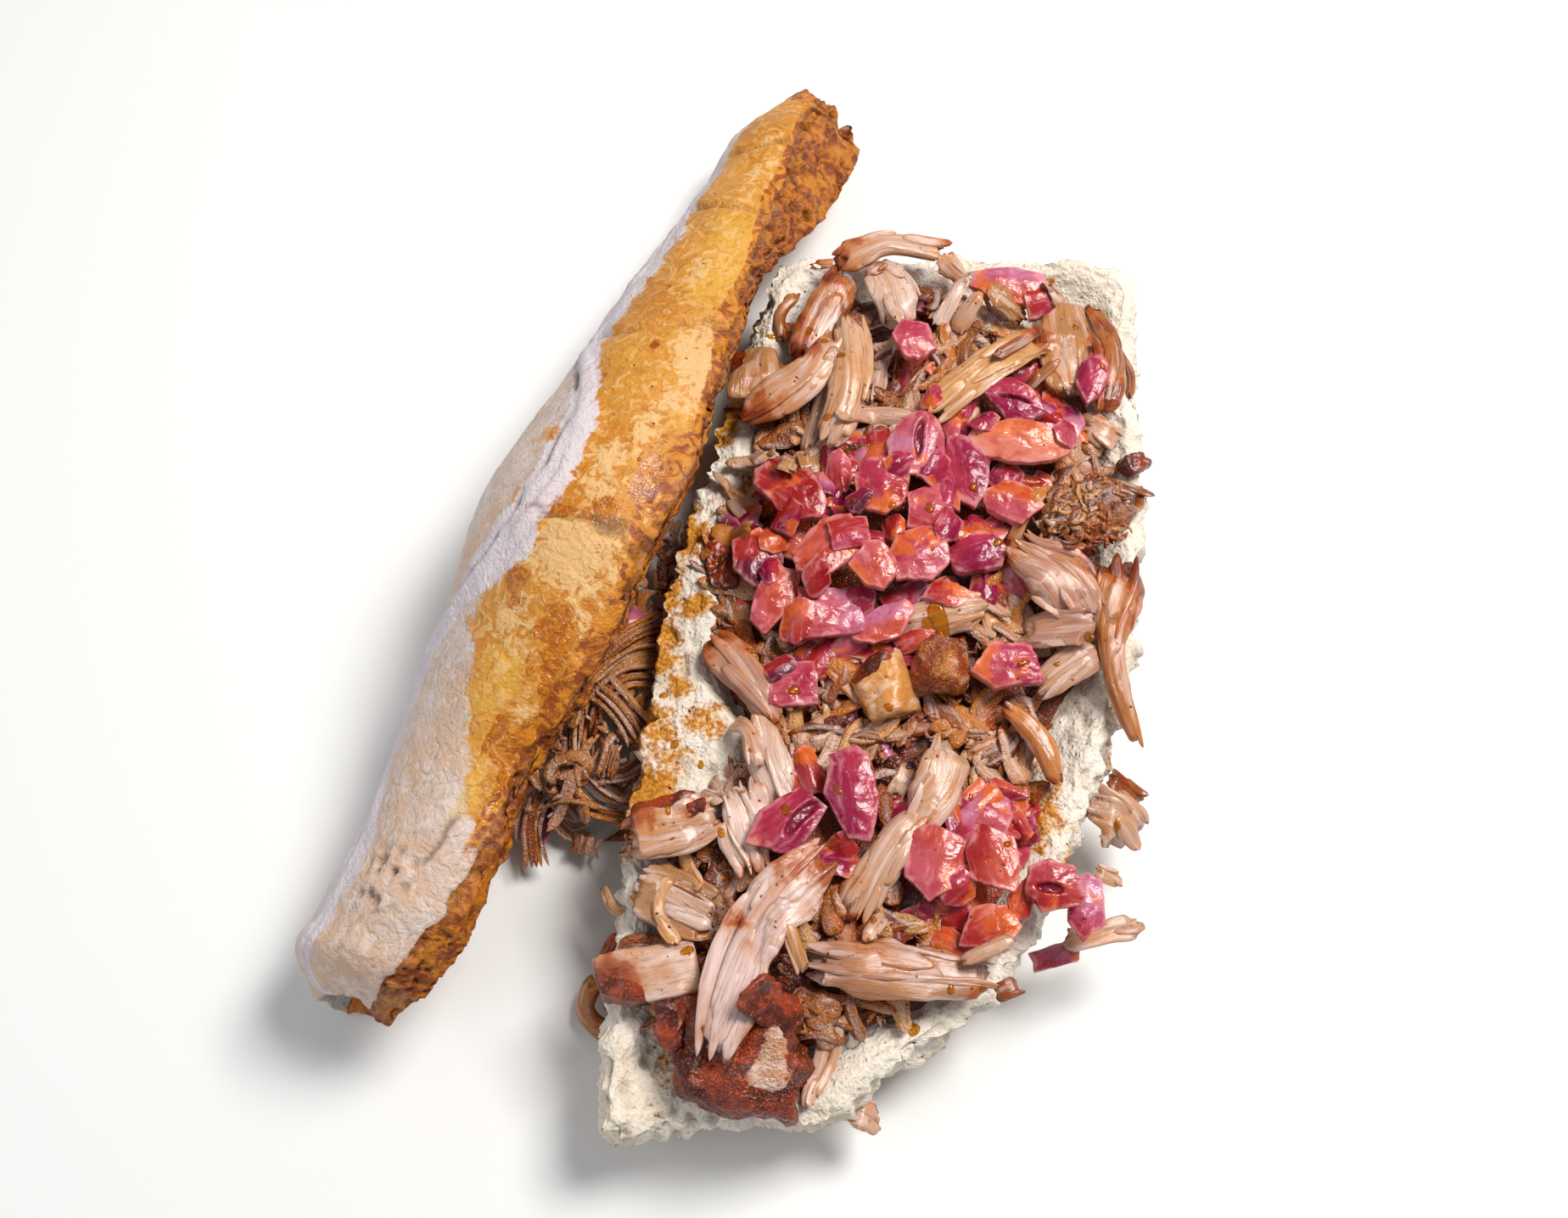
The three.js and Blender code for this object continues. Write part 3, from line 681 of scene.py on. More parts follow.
# %% Finish of the lid
def crust_paint():
    """Golden crust with pale blisters, oil, flour and torn crumb, with painted shade in its grooves, cracks,
    pores and creases and painted highlight speckles on the blisters.
    """
    paint = Paint("crust")
    fine = paint.grain(1100.0, 1.0)
    blotch = paint.grain(140.0, 3.0, warp=0.6)
    broad = paint.grain(38.0, 1.0)
    thread = paint.grain(640.0, 3.0, warp=1.0)
    patchy = paint.grain(260.0, 3.0, warp=1.6)
    gold = (paint.read("gold") + (blotch - 0.5) * 0.8 + (patchy - 0.5) * 1.2).rise(0.35, 0.65)
    pale = paint.blend(broad.rise(0.38, 0.6), tone(212, 190, 178), tone(208, 174, 148))
    pale = paint.blend(blotch.rise(0.45, 0.65) * 0.6, pale, tone(204, 192, 186))
    pale = paint.blend(patchy.rise(0.52, 0.62) * 0.5, pale, tone(196, 166, 146))
    pale = paint.blend(patchy.rise(0.45, 0.36) * 0.5, pale, tone(224, 212, 206))
    crackle = paint.pores(150.0, None, "DISTANCE_TO_EDGE").rise(0.05, 0.0)
    pale = paint.blend(crackle * blotch.rise(0.5, 0.56) * 0.3, pale, tone(150, 122, 100))
    yellow = (paint.read("yellow") + (blotch - 0.5) * 0.7).rise(0.25, 0.75)
    pale = paint.blend(yellow * 0.7, pale, tone(204, 166, 100))
    golden = paint.blend(broad.rise(0.35, 0.65), tone(194, 122, 26), tone(208, 142, 52))
    golden = paint.blend(yellow, golden, tone(212, 154, 54))
    golden = paint.blend(patchy.rise(0.53, 0.6) * 0.55, golden, tone(228, 180, 112))
    golden = paint.blend(patchy.rise(0.43, 0.36) * 0.5, golden, tone(180, 104, 18))
    # partly painted highlight: the peach patches are paler blistered crust, and their fine speckles stand
    # for highlights on wet micro-blisters
    peach = (paint.read("peach") + (patchy - 0.5) * 1.4 + (thread - 0.5) * 1.3).rise(0.3, 0.6)
    golden = paint.blend(peach * 0.85, golden, tone(222, 178, 120))
    golden = paint.blend(thread.rise(0.56, 0.66) * 0.35, golden, tone(220, 174, 116))
    colour = paint.blend(gold, pale, golden)
    oil = (paint.read("oil") + (blotch - 0.5) * 1.1 + (patchy - 0.5) * 1.4).rise(0.48, 0.64)
    wet = paint.blend(thread.rise(0.4, 0.62), tone(162, 84, 8), tone(198, 120, 20))
    colour = paint.blend(oil * 0.92, colour, wet)
    flour = (paint.read("flour") + (patchy - 0.5) * 1.2 + (thread - 0.5) * 0.7).rise(0.3, 0.75)
    colour = paint.blend(flour * 0.9, colour, tone(216, 207, 213))
    rim = (paint.read("rim") + (thread - 0.5) * 1.1).rise(0.35, 0.7)
    soaked = paint.blend(patchy.rise(0.40, 0.58), tone(142, 66, 12), tone(204, 128, 30))
    colour = paint.blend(rim * 0.95, colour, soaked)
    crumb = paint.read("crumb").rise(0.4, 0.6)
    stain = (paint.read("stain") + (blotch - 0.5) * 0.9).rise(0.25, 0.8)
    # painted shade: the torn crumb is painted greyer the deeper inside a pore it is
    cream = paint.blend(paint.read("pore"), tone(180, 172, 164), tone(140, 128, 112))
    orange = paint.blend(patchy.rise(0.38, 0.62), tone(124, 54, 10), tone(188, 108, 20))
    orange = paint.blend(blotch.rise(0.50, 0.64) * 0.7, orange, tone(200, 126, 22))
    orange = paint.blend(thread.rise(0.44, 0.36) * 0.5, orange, tone(98, 40, 8))
    # painted shade: deep in the pores the orange crumb is painted near black
    orange = paint.blend(paint.read("pore") * 0.8, orange, tone(60, 18, 5))
    torn = paint.blend(stain, cream, orange)
    colour = paint.blend(crumb, colour, torn)
    # painted shade: darker in the grooves, cracks, pores, splits and creases, and on the crumb under the
    # torn edge
    colour = paint.blend(paint.read("dark") * 0.7, colour, tone(96, 66, 44))
    shine = paint.blend(oil, (0.48, 0.48, 0.48), (0.14, 0.14, 0.14))
    rough = paint.blend(flour, shine, (0.9, 0.9, 0.9))
    rough = paint.blend(crumb, rough, paint.blend(stain, (0.85, 0.85, 0.85), (0.5, 0.5, 0.5)))
    lumpy = paint.relief(thread, 0.0004)
    lumpy = paint.relief(patchy, 0.0006, lumpy)
    lumpy = paint.relief(fine, 0.0002, lumpy)
    changing = {"Base Color": colour, "Roughness": rough, "Normal": lumpy, "Coat Weight": oil * 0.12}
    return paint.finish(changing, Coat_Roughness=0.2, Specular_IOR_Level=0.4)


lid_mesh().piece("lid_crust_and_crumb", crust_paint(), "crust", "bread_lid")
print("lid triangles:", TALLY["lid_crust_and_crumb"])

# %% [markdown]
# ## The heel
# The lower half is pressed open under the filling: thin pale crust below and at the sides, a ragged
# rim of torn crumb all round, and a hollow for the filling. The outline is read from the widest
# level of its solid. The crumb drinks yellow-orange oil where the meat touches it, and beside the
# lid a broad strip of it is bare.

# %% The heel's outline
HEEL_WIDEST = 17.0  # height of the widest level
HEEL_AXIS = (np.array([-3.7, -94.8]), np.array([42.3, 39.2]))  # the middle line, near and far end
CRUMB_Z, RIM_RISE, FLOOR = 25.0, 3.5, 20.0  # height of the crumb, rise of the rim, floor of the hollow
HEEL_ROUND = 650  # places round it
SIDE_LEVELS, LIP = 8, 1.5  # levels from the widest one to the rim, and how far the rim rounds over
BARE = ([-62, -55, -49, -43, -39, -32, -26, -17, -13, -9, -2, 3, 11, 16, 24],  # along, and how far
        [-14, -6.5, 0, 1.2, 0, -6.9, -8.6, -6.6, -4.5, -7.3, -9.1, -8, -3.4, -1.4, 0])


def bare_to(y):
    """Where the bare strip of crumb beside the lid ends, in x; far out beyond its two ends."""
    return np.where((y > -64) & (y < 26), np.interp(y, *BARE), -60.0)


def heel_outline():
    """The heel's outline, evenly stepped, and the way in from each of its points."""
    places, _ = solid_of("bread_heel")
    level = places[np.abs(places[:, 2] - HEEL_WIDEST) < 0.01][:, :2]
    around = level - level.mean(0)
    level = level[np.argsort(np.arctan2(around[:, 1], around[:, 0]))]
    closed = np.concatenate([level[-2:], level, level[:3]])
    far = run_of(closed)
    steps = np.linspace(far[2], far[-3], HEEL_ROUND, endpoint=False)
    line = np.stack([glide(far, closed[:, k], steps) for k in range(2)], -1)
    near, axis = HEEL_AXIS[0], HEEL_AXIS[1] - HEEL_AXIS[0]
    along = np.clip((line - near) @ axis / (axis @ axis), 0, 1)
    return line, near + along[:, None] * axis - line


# %% Build the heel
HEEL_OIL = [  # x, y, reach in x and y, strength
    (-17, -22, 5, 10, 0.9), (-15, -46, 8, 9, 0.75), (-19, -58, 8, 6, 1.1),
    (-10, -16, 4.5, 3.5, 1.15), (-9, -44, 7, 5, 0.85), (-13, -34, 4, 6, 0.8),
    (-12, 2, 5, 8, 0.95), (-14, 12, 3.5, 12, 0.8), (-6, 30, 3, 14, 0.65),
    (62, -62, 6, 12, 0.85), (70, -74, 5, 6, 0.7), (-13, -112, 7, 9, 0.55),
    (1, 58, 3, 12, 0.6), (80, -45, 3, 9, 0.5), (6, -108, 8, 6, 0.5),
]


def heel_mesh():
    line, inward = heel_outline()
    room = np.linalg.norm(inward, axis=1)
    inward /= room[:, None]
    y = line[:, 1] - HOME[1]
    rim = CRUMB_Z + RIM_RISE * hump(y - 5, 75) + 0.7 * np.sin(y / 6)
    # each level: how far in from the outline, and its height between the table, the rim and the floor
    inset = np.concatenate([
        [30, 22], np.linspace(15, 5, 5), np.linspace(4.2, 0.2, 10), np.linspace(0, 0.9, SIDE_LEVELS),
        np.linspace(1.2, 6, 14), np.linspace(6.6, 27, 34), [31, 36, 42],
    ])
    low = np.concatenate([[0, 0], np.linspace(0, 3, 5), np.linspace(4.2, 16, 10)])
    rings = []
    plateau = np.where(inward[:, 0] > 0.5, np.clip(bare_to(line[:, 1]) - line[:, 0], 4, 20), 4)
    for level, step in enumerate(inset):
        place = line + inward * np.minimum(step, 0.93 * room)[:, None]
        above = level - len(low)
        if above < 0:
            z = low[level] + 0 * rim
        elif above < SIDE_LEVELS:
            z = HEEL_WIDEST + (rim - LIP - HEEL_WIDEST) * above / (SIDE_LEVELS - 1)
        else:
            down = np.where(step < plateau, step * 4 / plateau, 4 + step - plateau)
            z = np.interp(down, [0.9, 4, 7.5, 11, 17, 26], [0, 1, 0.75, 0.35, 0, -0.05])
            z = np.where(down < 4, (rim - LIP) + (z * LIP), FLOOR + (rim - FLOOR) * z)
        rings.append(np.concatenate([place, z[:, None]], 1))
    rings = np.array(rings)
    smooth = rings
    depth = inset[:, None] + 0 * room
    step_up = np.arange(len(inset))[:, None] + 0 * room
    upper = rise(8, 11, step_up + 1.5 * bumps(smooth, 6.0, 3))
    relief, pore = torn_crumb(smooth, 70)
    fluff = 0.7 * (np.abs(layered(smooth, 1.9, 88, 2)) - 0.3)
    swell = 0.35 * layered(smooth, 14.0, 5, 3)
    height = upper * (relief * 0.75 + fluff) + (1 - upper) * swell
    lip = hump(depth - 2.5, 3.5) * upper
    height = height + lip * 0.8 * layered(smooth, 6.0, 81, 2)
    height = height * rise(0.0, 3.0, rings[:, :, 2])
    rings = pushed(rings, height)
    rag = layered(smooth, 5.0, 83, 3) + 0.8 * np.abs(layered(smooth, 3.0, 85, 2)) - 0.3
    rag = 2.6 * rag * hump(depth - 1, 2.5) * upper
    rings[:, :, :2] += rag[:, :, None] * inward
    rings[:, :, 2] = np.maximum(rings[:, :, 2], 0)
    stain = np.zeros(depth.shape)
    for x, ly, reach_x, reach_y, strength in HEEL_OIL:
        spot = ((rings[:, :, 0] - x) / reach_x) ** 2 + ((rings[:, :, 1] - ly) / reach_y) ** 2
        stain = np.maximum(stain, strength * np.exp(-spot))
    edge_oil = rise(4.5, 1.0, np.abs(depth - 1.5)) * (inward[:, 0] > 0.6) * rise(-78, -66, rings[:, :, 1])
    edge_oil = edge_oil * rise(-0.25, 0.25, layered(smooth, 9.0, 91, 2))
    stain = np.maximum(stain, 0.75 * edge_oil * rise(62, 40, rings[:, :, 1]))
    pile = Pile()
    pile.add(rings, crumb=upper, pore=pore * upper, stain=stain * upper)
    return pile


# %% Finish of the heel
def crumb_paint():
    """Pale torn crumb that has drunk some oil, with painted shade in its pores, over thin floury crust."""
    paint = Paint("crumb")
    fine = paint.grain(1100.0, 2.0)
    blotch = paint.grain(160.0, 3.0, warp=0.8)
    broad = paint.grain(45.0, 1.0)
    hole, wider = paint.pores(900.0), paint.pores(380.0)
    cream = paint.blend(broad.rise(0.35, 0.65), tone(240, 228, 212), tone(226, 210, 186))
    cream = paint.blend(fine.rise(0.3, 0.7) * 0.6, cream, tone(246, 240, 232))
    # painted shade: the crumb is painted darker the deeper inside a pore it is
    cream = paint.blend(paint.read("pore") * 0.6, cream, tone(190, 170, 142))
    stain = (paint.read("stain") + (blotch - 0.5) * 1.9 + (fine - 0.5) * 1.2).rise(0.25, 0.8)
    yellow = paint.blend(fine.rise(0.35, 0.65), tone(216, 150, 14), tone(176, 100, 4))
    crumb = paint.blend(stain * 0.96, cream, yellow)
    crust = paint.blend(broad.rise(0.3, 0.7), tone(206, 170, 124), tone(190, 140, 86))
    crust = paint.blend(blotch.rise(0.45, 0.7) * 0.7, crust, tone(222, 210, 196))
    colour = paint.blend(paint.read("crumb").rise(0.4, 0.6), crust, crumb)
    rough = paint.blend(stain, (0.85, 0.85, 0.85), (0.42, 0.42, 0.42))
    lumpy = paint.relief(fine, 0.0005)
    lumpy = paint.relief(hole.rise(0.0, 0.6), 0.00015, lumpy)
    lumpy = paint.relief(wider.rise(0.0, 0.6), 0.00015, lumpy)
    changing = {"Base Color": colour, "Roughness": rough, "Normal": lumpy}
    return paint.finish(changing, Specular_IOR_Level=0.12)


heel_mesh().piece("heel_crumb_and_crust", crumb_paint(), "crumb", "bread_heel")
print("heel triangles:", TALLY["heel_crumb_and_crust"])

# %% [markdown]
# ## Pulled pork
# Pulled meat comes apart along its fibres into flat blades that lie like the pages of a worn book:
# the surface is stepped where one blade ends and the next begins, and at the ends each blade is
# torn off at its own length. So a shred is a flat ribbon whose section is stepped, with a few loose
# strands on it. Where a shred runs, how wide and how thick it is are read from its solid, slice by
# slice. Each place also keeps where it lies along and across the fibres, so that the finish can draw
# its streaks lengthwise however the shred bends.

# %% Lines and their frames
def path(points, count):
    """Evenly stepped points on a smooth curve through a few points."""
    points = np.asarray(points, float)
    far = run_of(points)
    at = np.linspace(0, far[-1], count)
    return np.stack([glide(far, column, at) for column in points.T], -1)


def unit(vectors):
    return vectors / np.maximum(np.linalg.norm(vectors, axis=-1, keepdims=True), 1e-9)


def frame_of(line):
    """The sideways and the upward direction at each point of a line."""
    ahead = unit(np.gradient(line, axis=0))
    side = unit(np.cross(ahead, [0, 0, 1.0]))
    return side, np.cross(side, ahead)


def rolled(side, top, turn):
    """The same two directions, turned about the line."""
    return side * np.cos(turn) + top * np.sin(turn), top * np.cos(turn) - side * np.sin(turn)


def held(value, line):
    """The same value at every point of a line, if it is one number."""
    return value * np.ones(len(line))


def signed_power(value, power):
    return np.sign(value) * np.abs(value) ** power


# %% One loose strand
def strand(pile, line, width, height, seed, sides=8, blunt=(0.3, 0.3), roll=0.0, **values):
    """A flat strand that narrows to its ends; width and height are its halves at each point."""
    width, height = held(width, line), held(height, line)
    t = np.linspace(0, 1, len(line))
    far = run_of(line)
    side, top = frame_of(line)
    turn = held(roll, line)[:, None]
    side, top = rolled(side, top, turn)
    near_end = np.clip(t / blunt[0], 0, 1)
    far_end = np.clip((1 - t) / blunt[1], 0, 1)
    taper = 0.08 + 0.92 * np.sqrt(near_end * (2 - near_end)) * np.sqrt(far_end * (2 - far_end))
    angle = 2 * np.pi * (np.arange(sides) + 0.5) / sides
    uneven = 1 + 0.18 * bumps(together(far / 3.5, seed, 0), 1.0, seed)
    across = (width * taper * uneven)[:, None] * signed_power(np.cos(angle), 0.75)
    above = (height * (0.4 + 0.6 * taper))[:, None] * signed_power(np.sin(angle), 0.9)
    above = above + 0.22 * height[:, None] * np.cos(3 * angle + seed) * taper[:, None]
    rings = line[:, None] + across[:, :, None] * side[:, None] + above[:, :, None] * top[:, None]
    rings[:, :, 2] = np.maximum(rings[:, :, 2], 0.2)
    fibre = together(far[:, None], across, above) + 13.7 * seed
    tip = 1 - np.minimum(near_end * far_end, 1)[:, None] + 0 * across
    pile.add(rings, fibre=fibre, tip=tip, **values)


# %% One shred
def ribbon(pile, line, width, height, seed, sides=64, step=0.55, torn=2.4, pitch=2.4, **values):
    """A broad shred: a flat ribbon with stepped blades whose ends are torn off unevenly."""
    width, height = held(width, line), held(height, line)
    t = np.linspace(0, 1, len(line))[:, None]
    far = run_of(line)[:, None]
    side, top = frame_of(line)
    ahead = np.cross(top, side)
    twist = 0.4 * bumps(together(far / 13, 0, seed), 1.0, seed)
    side, top = rolled(side, top, twist)
    angle = 2 * np.pi * (np.arange(sides) + 0.5) / sides
    end = np.minimum(t, 1 - t) * far[-1] / np.maximum(width[:, None], 2)
    taper = 0.1 + 0.9 * rise(0, 0.9, end) ** 0.6
    uneven = 1 + 0.26 * layered(together(far / 7, np.sign(np.cos(angle)), 0), 1.0, seed + 2, 3)
    across = uneven * width[:, None] * (0.4 + 0.6 * taper) * signed_power(np.cos(angle), 0.85)
    upper = np.sin(angle) > 0
    # the stepped section: blades of uneven width that wander, merge and part along the shred
    spot = together(far / 16, across / 4.5, np.where(upper, 0.0, 9.0))
    wander = bumps(spot, 1.0, seed)
    lane = across / pitch * (1 + 0.35 * np.sin(seed + across / 5.0)) + 1.7 * wander + 40
    blade = np.floor(lane)
    part = lane - blade
    level = lattice(together(blade, seed, 1.0 * upper), seed)
    tilt = lattice(together(blade, seed, 5.0 + upper), seed) - 0.3
    stepped = 0.42 * step * ((part - 0.5) * 1.2 * tilt + 2.0 * (level**2 - 0.3))
    seam = hump(np.minimum(part, 1 - part), 0.10) * rise(0.3, 0.8, tilt + 0.5 * wander)
    stepped -= 0.4 * step * seam
    thin = 0.13 * layered(spot * [1.2, 5.0, 1.0], 1.0, seed + 5, 2)
    thin += 0.3 * bumps(together(far / 5, across / 9, spot[..., 2]), 1.0, seed + 8)
    above = height[:, None] * (0.22 + 0.78 * taper) * signed_power(np.sin(angle), 1.1)
    above = above + (stepped + thin) * np.abs(np.sin(angle)) ** 0.4 * np.where(upper, 1, 0.5)
    ends = np.where(t > 0.5, 1.0, -1.0) * rise(1.1, 0.0, end)
    shift = ends * torn * (1.7 * (level - 0.6) + 1.3 * wander)
    split = rise(0.9, 0.0, end) * hump(np.minimum(part, 1 - part), 0.16)
    above = above * (1 - 0.4 * split)
    curl = bumps(together(far / 11, 3, seed), 1.0, seed + 4)
    above = above + curl * 0.3 * (across**2 / np.maximum(width[:, None], 1.5) - 0.4 * width[:, None])
    rings = line[:, None] + across[:, :, None] * side[:, None] + above[:, :, None] * top[:, None]
    rings = rings + (shift - ends * 1.1 * split)[:, :, None] * ahead[:, None]
    rings[:, :, 2] = np.maximum(rings[:, :, 2], 0.2)
    fibre = together(far, across, above * 0.5 + level * 9) + 13.7 * seed
    edge = np.abs(np.cos(angle)) ** 5 * 0.55
    # browned ends and sides, and painted shade in the seams between the blades
    tip = np.maximum(0.7 * rise(0.7, 0.0, end), edge + 0.7 * seam)
    pile.add(rings, fibre=fibre, tip=tip, **values)


def bundle(pile, line, width, height, seed, strands=4, sides=64, loose=1.0, step=0.55, **values):
    """A shred with a few loose strands that lie along it and part from it at the ends."""
    draw = np.random.default_rng(seed)
    width, height = held(width, line), held(height, line)
    rows = len(line)
    side, top = frame_of(line)
    t = np.linspace(0, 1, rows)
    trim = slice(int(0.03 * rows), rows - int(0.03 * rows))
    pitch = draw.uniform(2.3, 4.2)
    core = (line[trim], 0.95 * width[trim], 0.9 * height[trim], seed, sides, step)
    ribbon(pile, *core, min(2.2, 0.4 * width.max()), pitch, **values)
    for k in range(strands):
        lane = draw.uniform(-0.95, 0.95)
        start, stop = (0, draw.uniform(0.3, 0.8)) if k % 2 else (draw.uniform(0.2, 0.7), 1)
        own = np.linspace(start, stop, max(int(rows * (stop - start)), 12))
        reach = 2 * own - 1
        drift = lane + 0.3 * draw.uniform(-1, 1) * reach + 0.35 * lane * loose * np.abs(reach) ** 5
        here, out, lift = (
            np.stack([np.interp(own, t, column) for column in lines.T], -1) for lines in (line, side, top)
        )
        wide, high = np.interp(own, t, width), np.interp(own, t, height)
        proud = high * 0.8 * np.sqrt(np.maximum(1 - drift**2, 0.05)) - 0.05
        proud += loose * draw.uniform(-0.3, 1.3) * np.abs(reach) ** 6
        place = here + out * (drift * wide)[:, None] + lift * proud[:, None]
        slim = draw.uniform(0.6, 2.2) * np.clip(wide / 5.0, 0.5, 1.3)
        thin = draw.uniform(0.25, 0.5)
        blunt = draw.uniform(0.25, 0.6, 2)
        strand(pile, place, slim, thin, seed * 31 + k, 8, blunt, draw.uniform(-0.5, 0.5), **values)


# %% Reading a shred from its solid
def strip_of(node, count):
    """The middle line of a long solid, with its half width and half height along it."""
    points, _ = surface_points(node, 6000)
    middle = points.mean(0)
    flat = (points - middle)[:, :2]
    ahead = np.linalg.svd(flat, full_matrices=False)[2][0]
    across = np.array([-ahead[1], ahead[0]])
    at = flat @ ahead
    slices = 9
    edges = np.quantile(at, [0, 1]) + np.array([0.2, -0.2])
    reach = 0.75 * (edges[1] - edges[0]) / (slices - 1)
    rows = []
    for mark in np.linspace(*edges, slices):
        close = points[np.abs(at - mark) < reach]
        left, right = np.quantile((close[:, :2] - middle[:2]) @ across, [0.02, 0.98])
        low, high = np.quantile(close[:, 2], [0.04, 0.96])
        rows.append([mark, (left + right) / 2, (low + high) / 2, (right - left) / 2, (high - low) / 2])
    rows = np.array(rows)
    rows[1:-1, 1:] = (rows[:-2, 1:] + 2 * rows[1:-1, 1:] + rows[2:, 1:]) / 4
    line = middle[:2] + rows[:, :1] * ahead + rows[:, 1:2] * across
    line = path(np.concatenate([line, rows[:, 2:3], rows[:, 3:]], 1), count)
    sideways, onwards = np.gradient(line[:, :2] @ np.stack([across, ahead], 1), axis=0).T
    slope = np.abs(np.cos(np.arctan2(sideways, onwards)))
    return line[:, :3], np.maximum(line[:, 3] * slope, 1.2), np.maximum(line[:, 4] * 0.85, 1.3)


# %% [markdown]
# ## What meat looks like
# The pale pink-white meat is faintly streaked along its fibres, washed with yellow-brown juice and
# stained orange to dark brown at edges and ends that were browned in the pot, and the seams between
# its blades are painted brown as shade. Fat is smoother, yellower and wetter. Bark, the dark crust,
# is grainy. One paint covers all three: the tone, the stain and the bark are read from the mesh, and
# only gloss and grit differ.

# %% Meat paint
def meat_paint(name, grit, gloss):
    """Streaked meat; grit is how grainy it is and gloss its wet coat."""
    paint = Paint(name)
    fibre = paint.read("fibre", "Vector")
    thin = paint.grain(1.0, 3.0, paint.stretched(fibre, (0.11, 2.6, 2.6)), 0.65)
    wide = paint.grain(1.0, 2.0, paint.stretched(fibre, (0.06, 0.5, 0.5)), 0.55, 0.4)
    blotch = paint.grain(190.0, 3.0, warp=0.5)
    broad = paint.grain(70.0, 1.0)
    fine = paint.grain(1500.0, 1.0)
    own = paint.read("tone", "Color")
    colour = paint.blend(thin.rise(0.52, 0.34) * 0.6, own, tone(222, 156, 116), "MULTIPLY")
    colour = paint.blend(thin.rise(0.38, 0.30) * 0.6, colour, tone(134, 76, 42))
    colour = paint.blend(wide.rise(0.48, 0.66) * 0.45, colour, tone(238, 212, 202))
    wash = (broad * 0.6 + blotch * 0.4).rise(0.44, 0.62) * (1 - wide).rise(0.3, 0.65)
    colour = paint.blend(wash * 0.5, colour, tone(200, 128, 52))
    # painted shade: the seams between blades are stained browner as shade, beside the real browning of ends
    # and sides
    stain = paint.read("stain") + paint.read("tip") * 0.34 + (blotch - 0.5) * 1.7 + (thin - 0.5) * 0.5
    colour = paint.blend(stain.rise(0.1, 0.6) * 0.5, colour, tone(198, 128, 70))
    colour = paint.blend(stain.rise(0.5, 0.8) * 0.85, colour, tone(168, 76, 20))
    colour = paint.blend(stain.rise(0.8, 1.15) * 0.85, colour, tone(108, 36, 12))
    bark = (paint.read("bark") + (blotch - 0.5) * 0.9 + (fine - 0.5) * 0.3).rise(0.4, 0.62)
    crust = paint.blend(blotch.rise(0.38, 0.66), tone(74, 22, 10), tone(150, 54, 20))
    crust = paint.blend(fine.rise(0.55, 0.75) * 0.7, crust, tone(196, 92, 36))
    colour = paint.blend(bark, colour, crust)
    speck = paint.pores(240.0)
    colour = paint.blend(speck.rise(0.10, 0.05) * 0.8, colour, tone(120, 50, 22))
    rough = (0.3 - blotch * 0.32) + bark * 0.02
    lumpy = paint.relief(thin, 0.0002)
    if grit > 0:
        lumpy = paint.relief(fine, grit, lumpy)
    changing = {"Base Color": colour, "Roughness": rough, "Normal": lumpy}
    return paint.finish(changing, Coat_Weight=gloss, Coat_Roughness=0.25, Specular_IOR_Level=0.5)


MEAT = meat_paint("pork", 0.0, 0.2)
FAT = meat_paint("fat", 0.0, 0.5)
BARK = meat_paint("bark", 0.0006, 0.1)

# %% [markdown]
# ## The pork pieces
# Each named piece gets its own tone, taken from the real ones: pale, white, yellow, brown. Browned
# places are spots on the whole heap rather than on one piece, so neighbours are stained together,
# as they were in the pot.

# %% Tones and browned places
PALE, WHITE, PINK = tone(198, 156, 130), tone(214, 184, 168), tone(182, 132, 108)
YELLOW, BROWN, AMBER = tone(200, 147, 92), tone(138, 68, 28), tone(184, 106, 34)
BEIGE, DEEP = tone(170, 119, 72), tone(98, 34, 12)

BROWNED = [  # x, y, reach, strength: edges and ends that were browned
    (20, -60, 5, 1), (13, -60, 5, 0.8), (88, 7, 9, 1.35), (81, 8, 8, 1.2), (84, -6, 4, 0.75),
    (21, 82, 8, 1.15), (15, 60, 6, 1.1), (14, 68, 5, 0.9), (6, 45, 6, 0.9), (1, 44, 4, 1),
    (9, 63, 4, 0.8), (3, 55, 4, 0.65), (84, 74, 5, 0.9), (85, 50, 6, 1), (82, 62, 4, 0.8),
    (70, 64, 5, 0.9), (28, 88, 4, 0.6), (50, 88, 4, 0.7), (-20, -47, 6, 1.1), (-8, -47, 4, 0.7),
    (-22, -80, 6, 1.1), (-26, -82, 5, 1.2), (3, -70, 4, 0.6),
    (30, -74, 4, 0.7), (48, -84, 4, 0.65), (24, -70, 5, 0.75), (38, -52, 4, 0.5), (1, -8, 5, 0.9),
    (-6, -12, 4, 0.9), (10, -29, 4, 0.6), (4, -60, 4, 0.6), (58, 8, 4, 0.6), (66, 66, 4, 0.8),
    (24, 74, 3, 0.5), (44, 38, 4, 0.5), (67, -42, 4, 0.9), (56, -24, 4, 0.8), (14, -100, 6, 0.6),
]
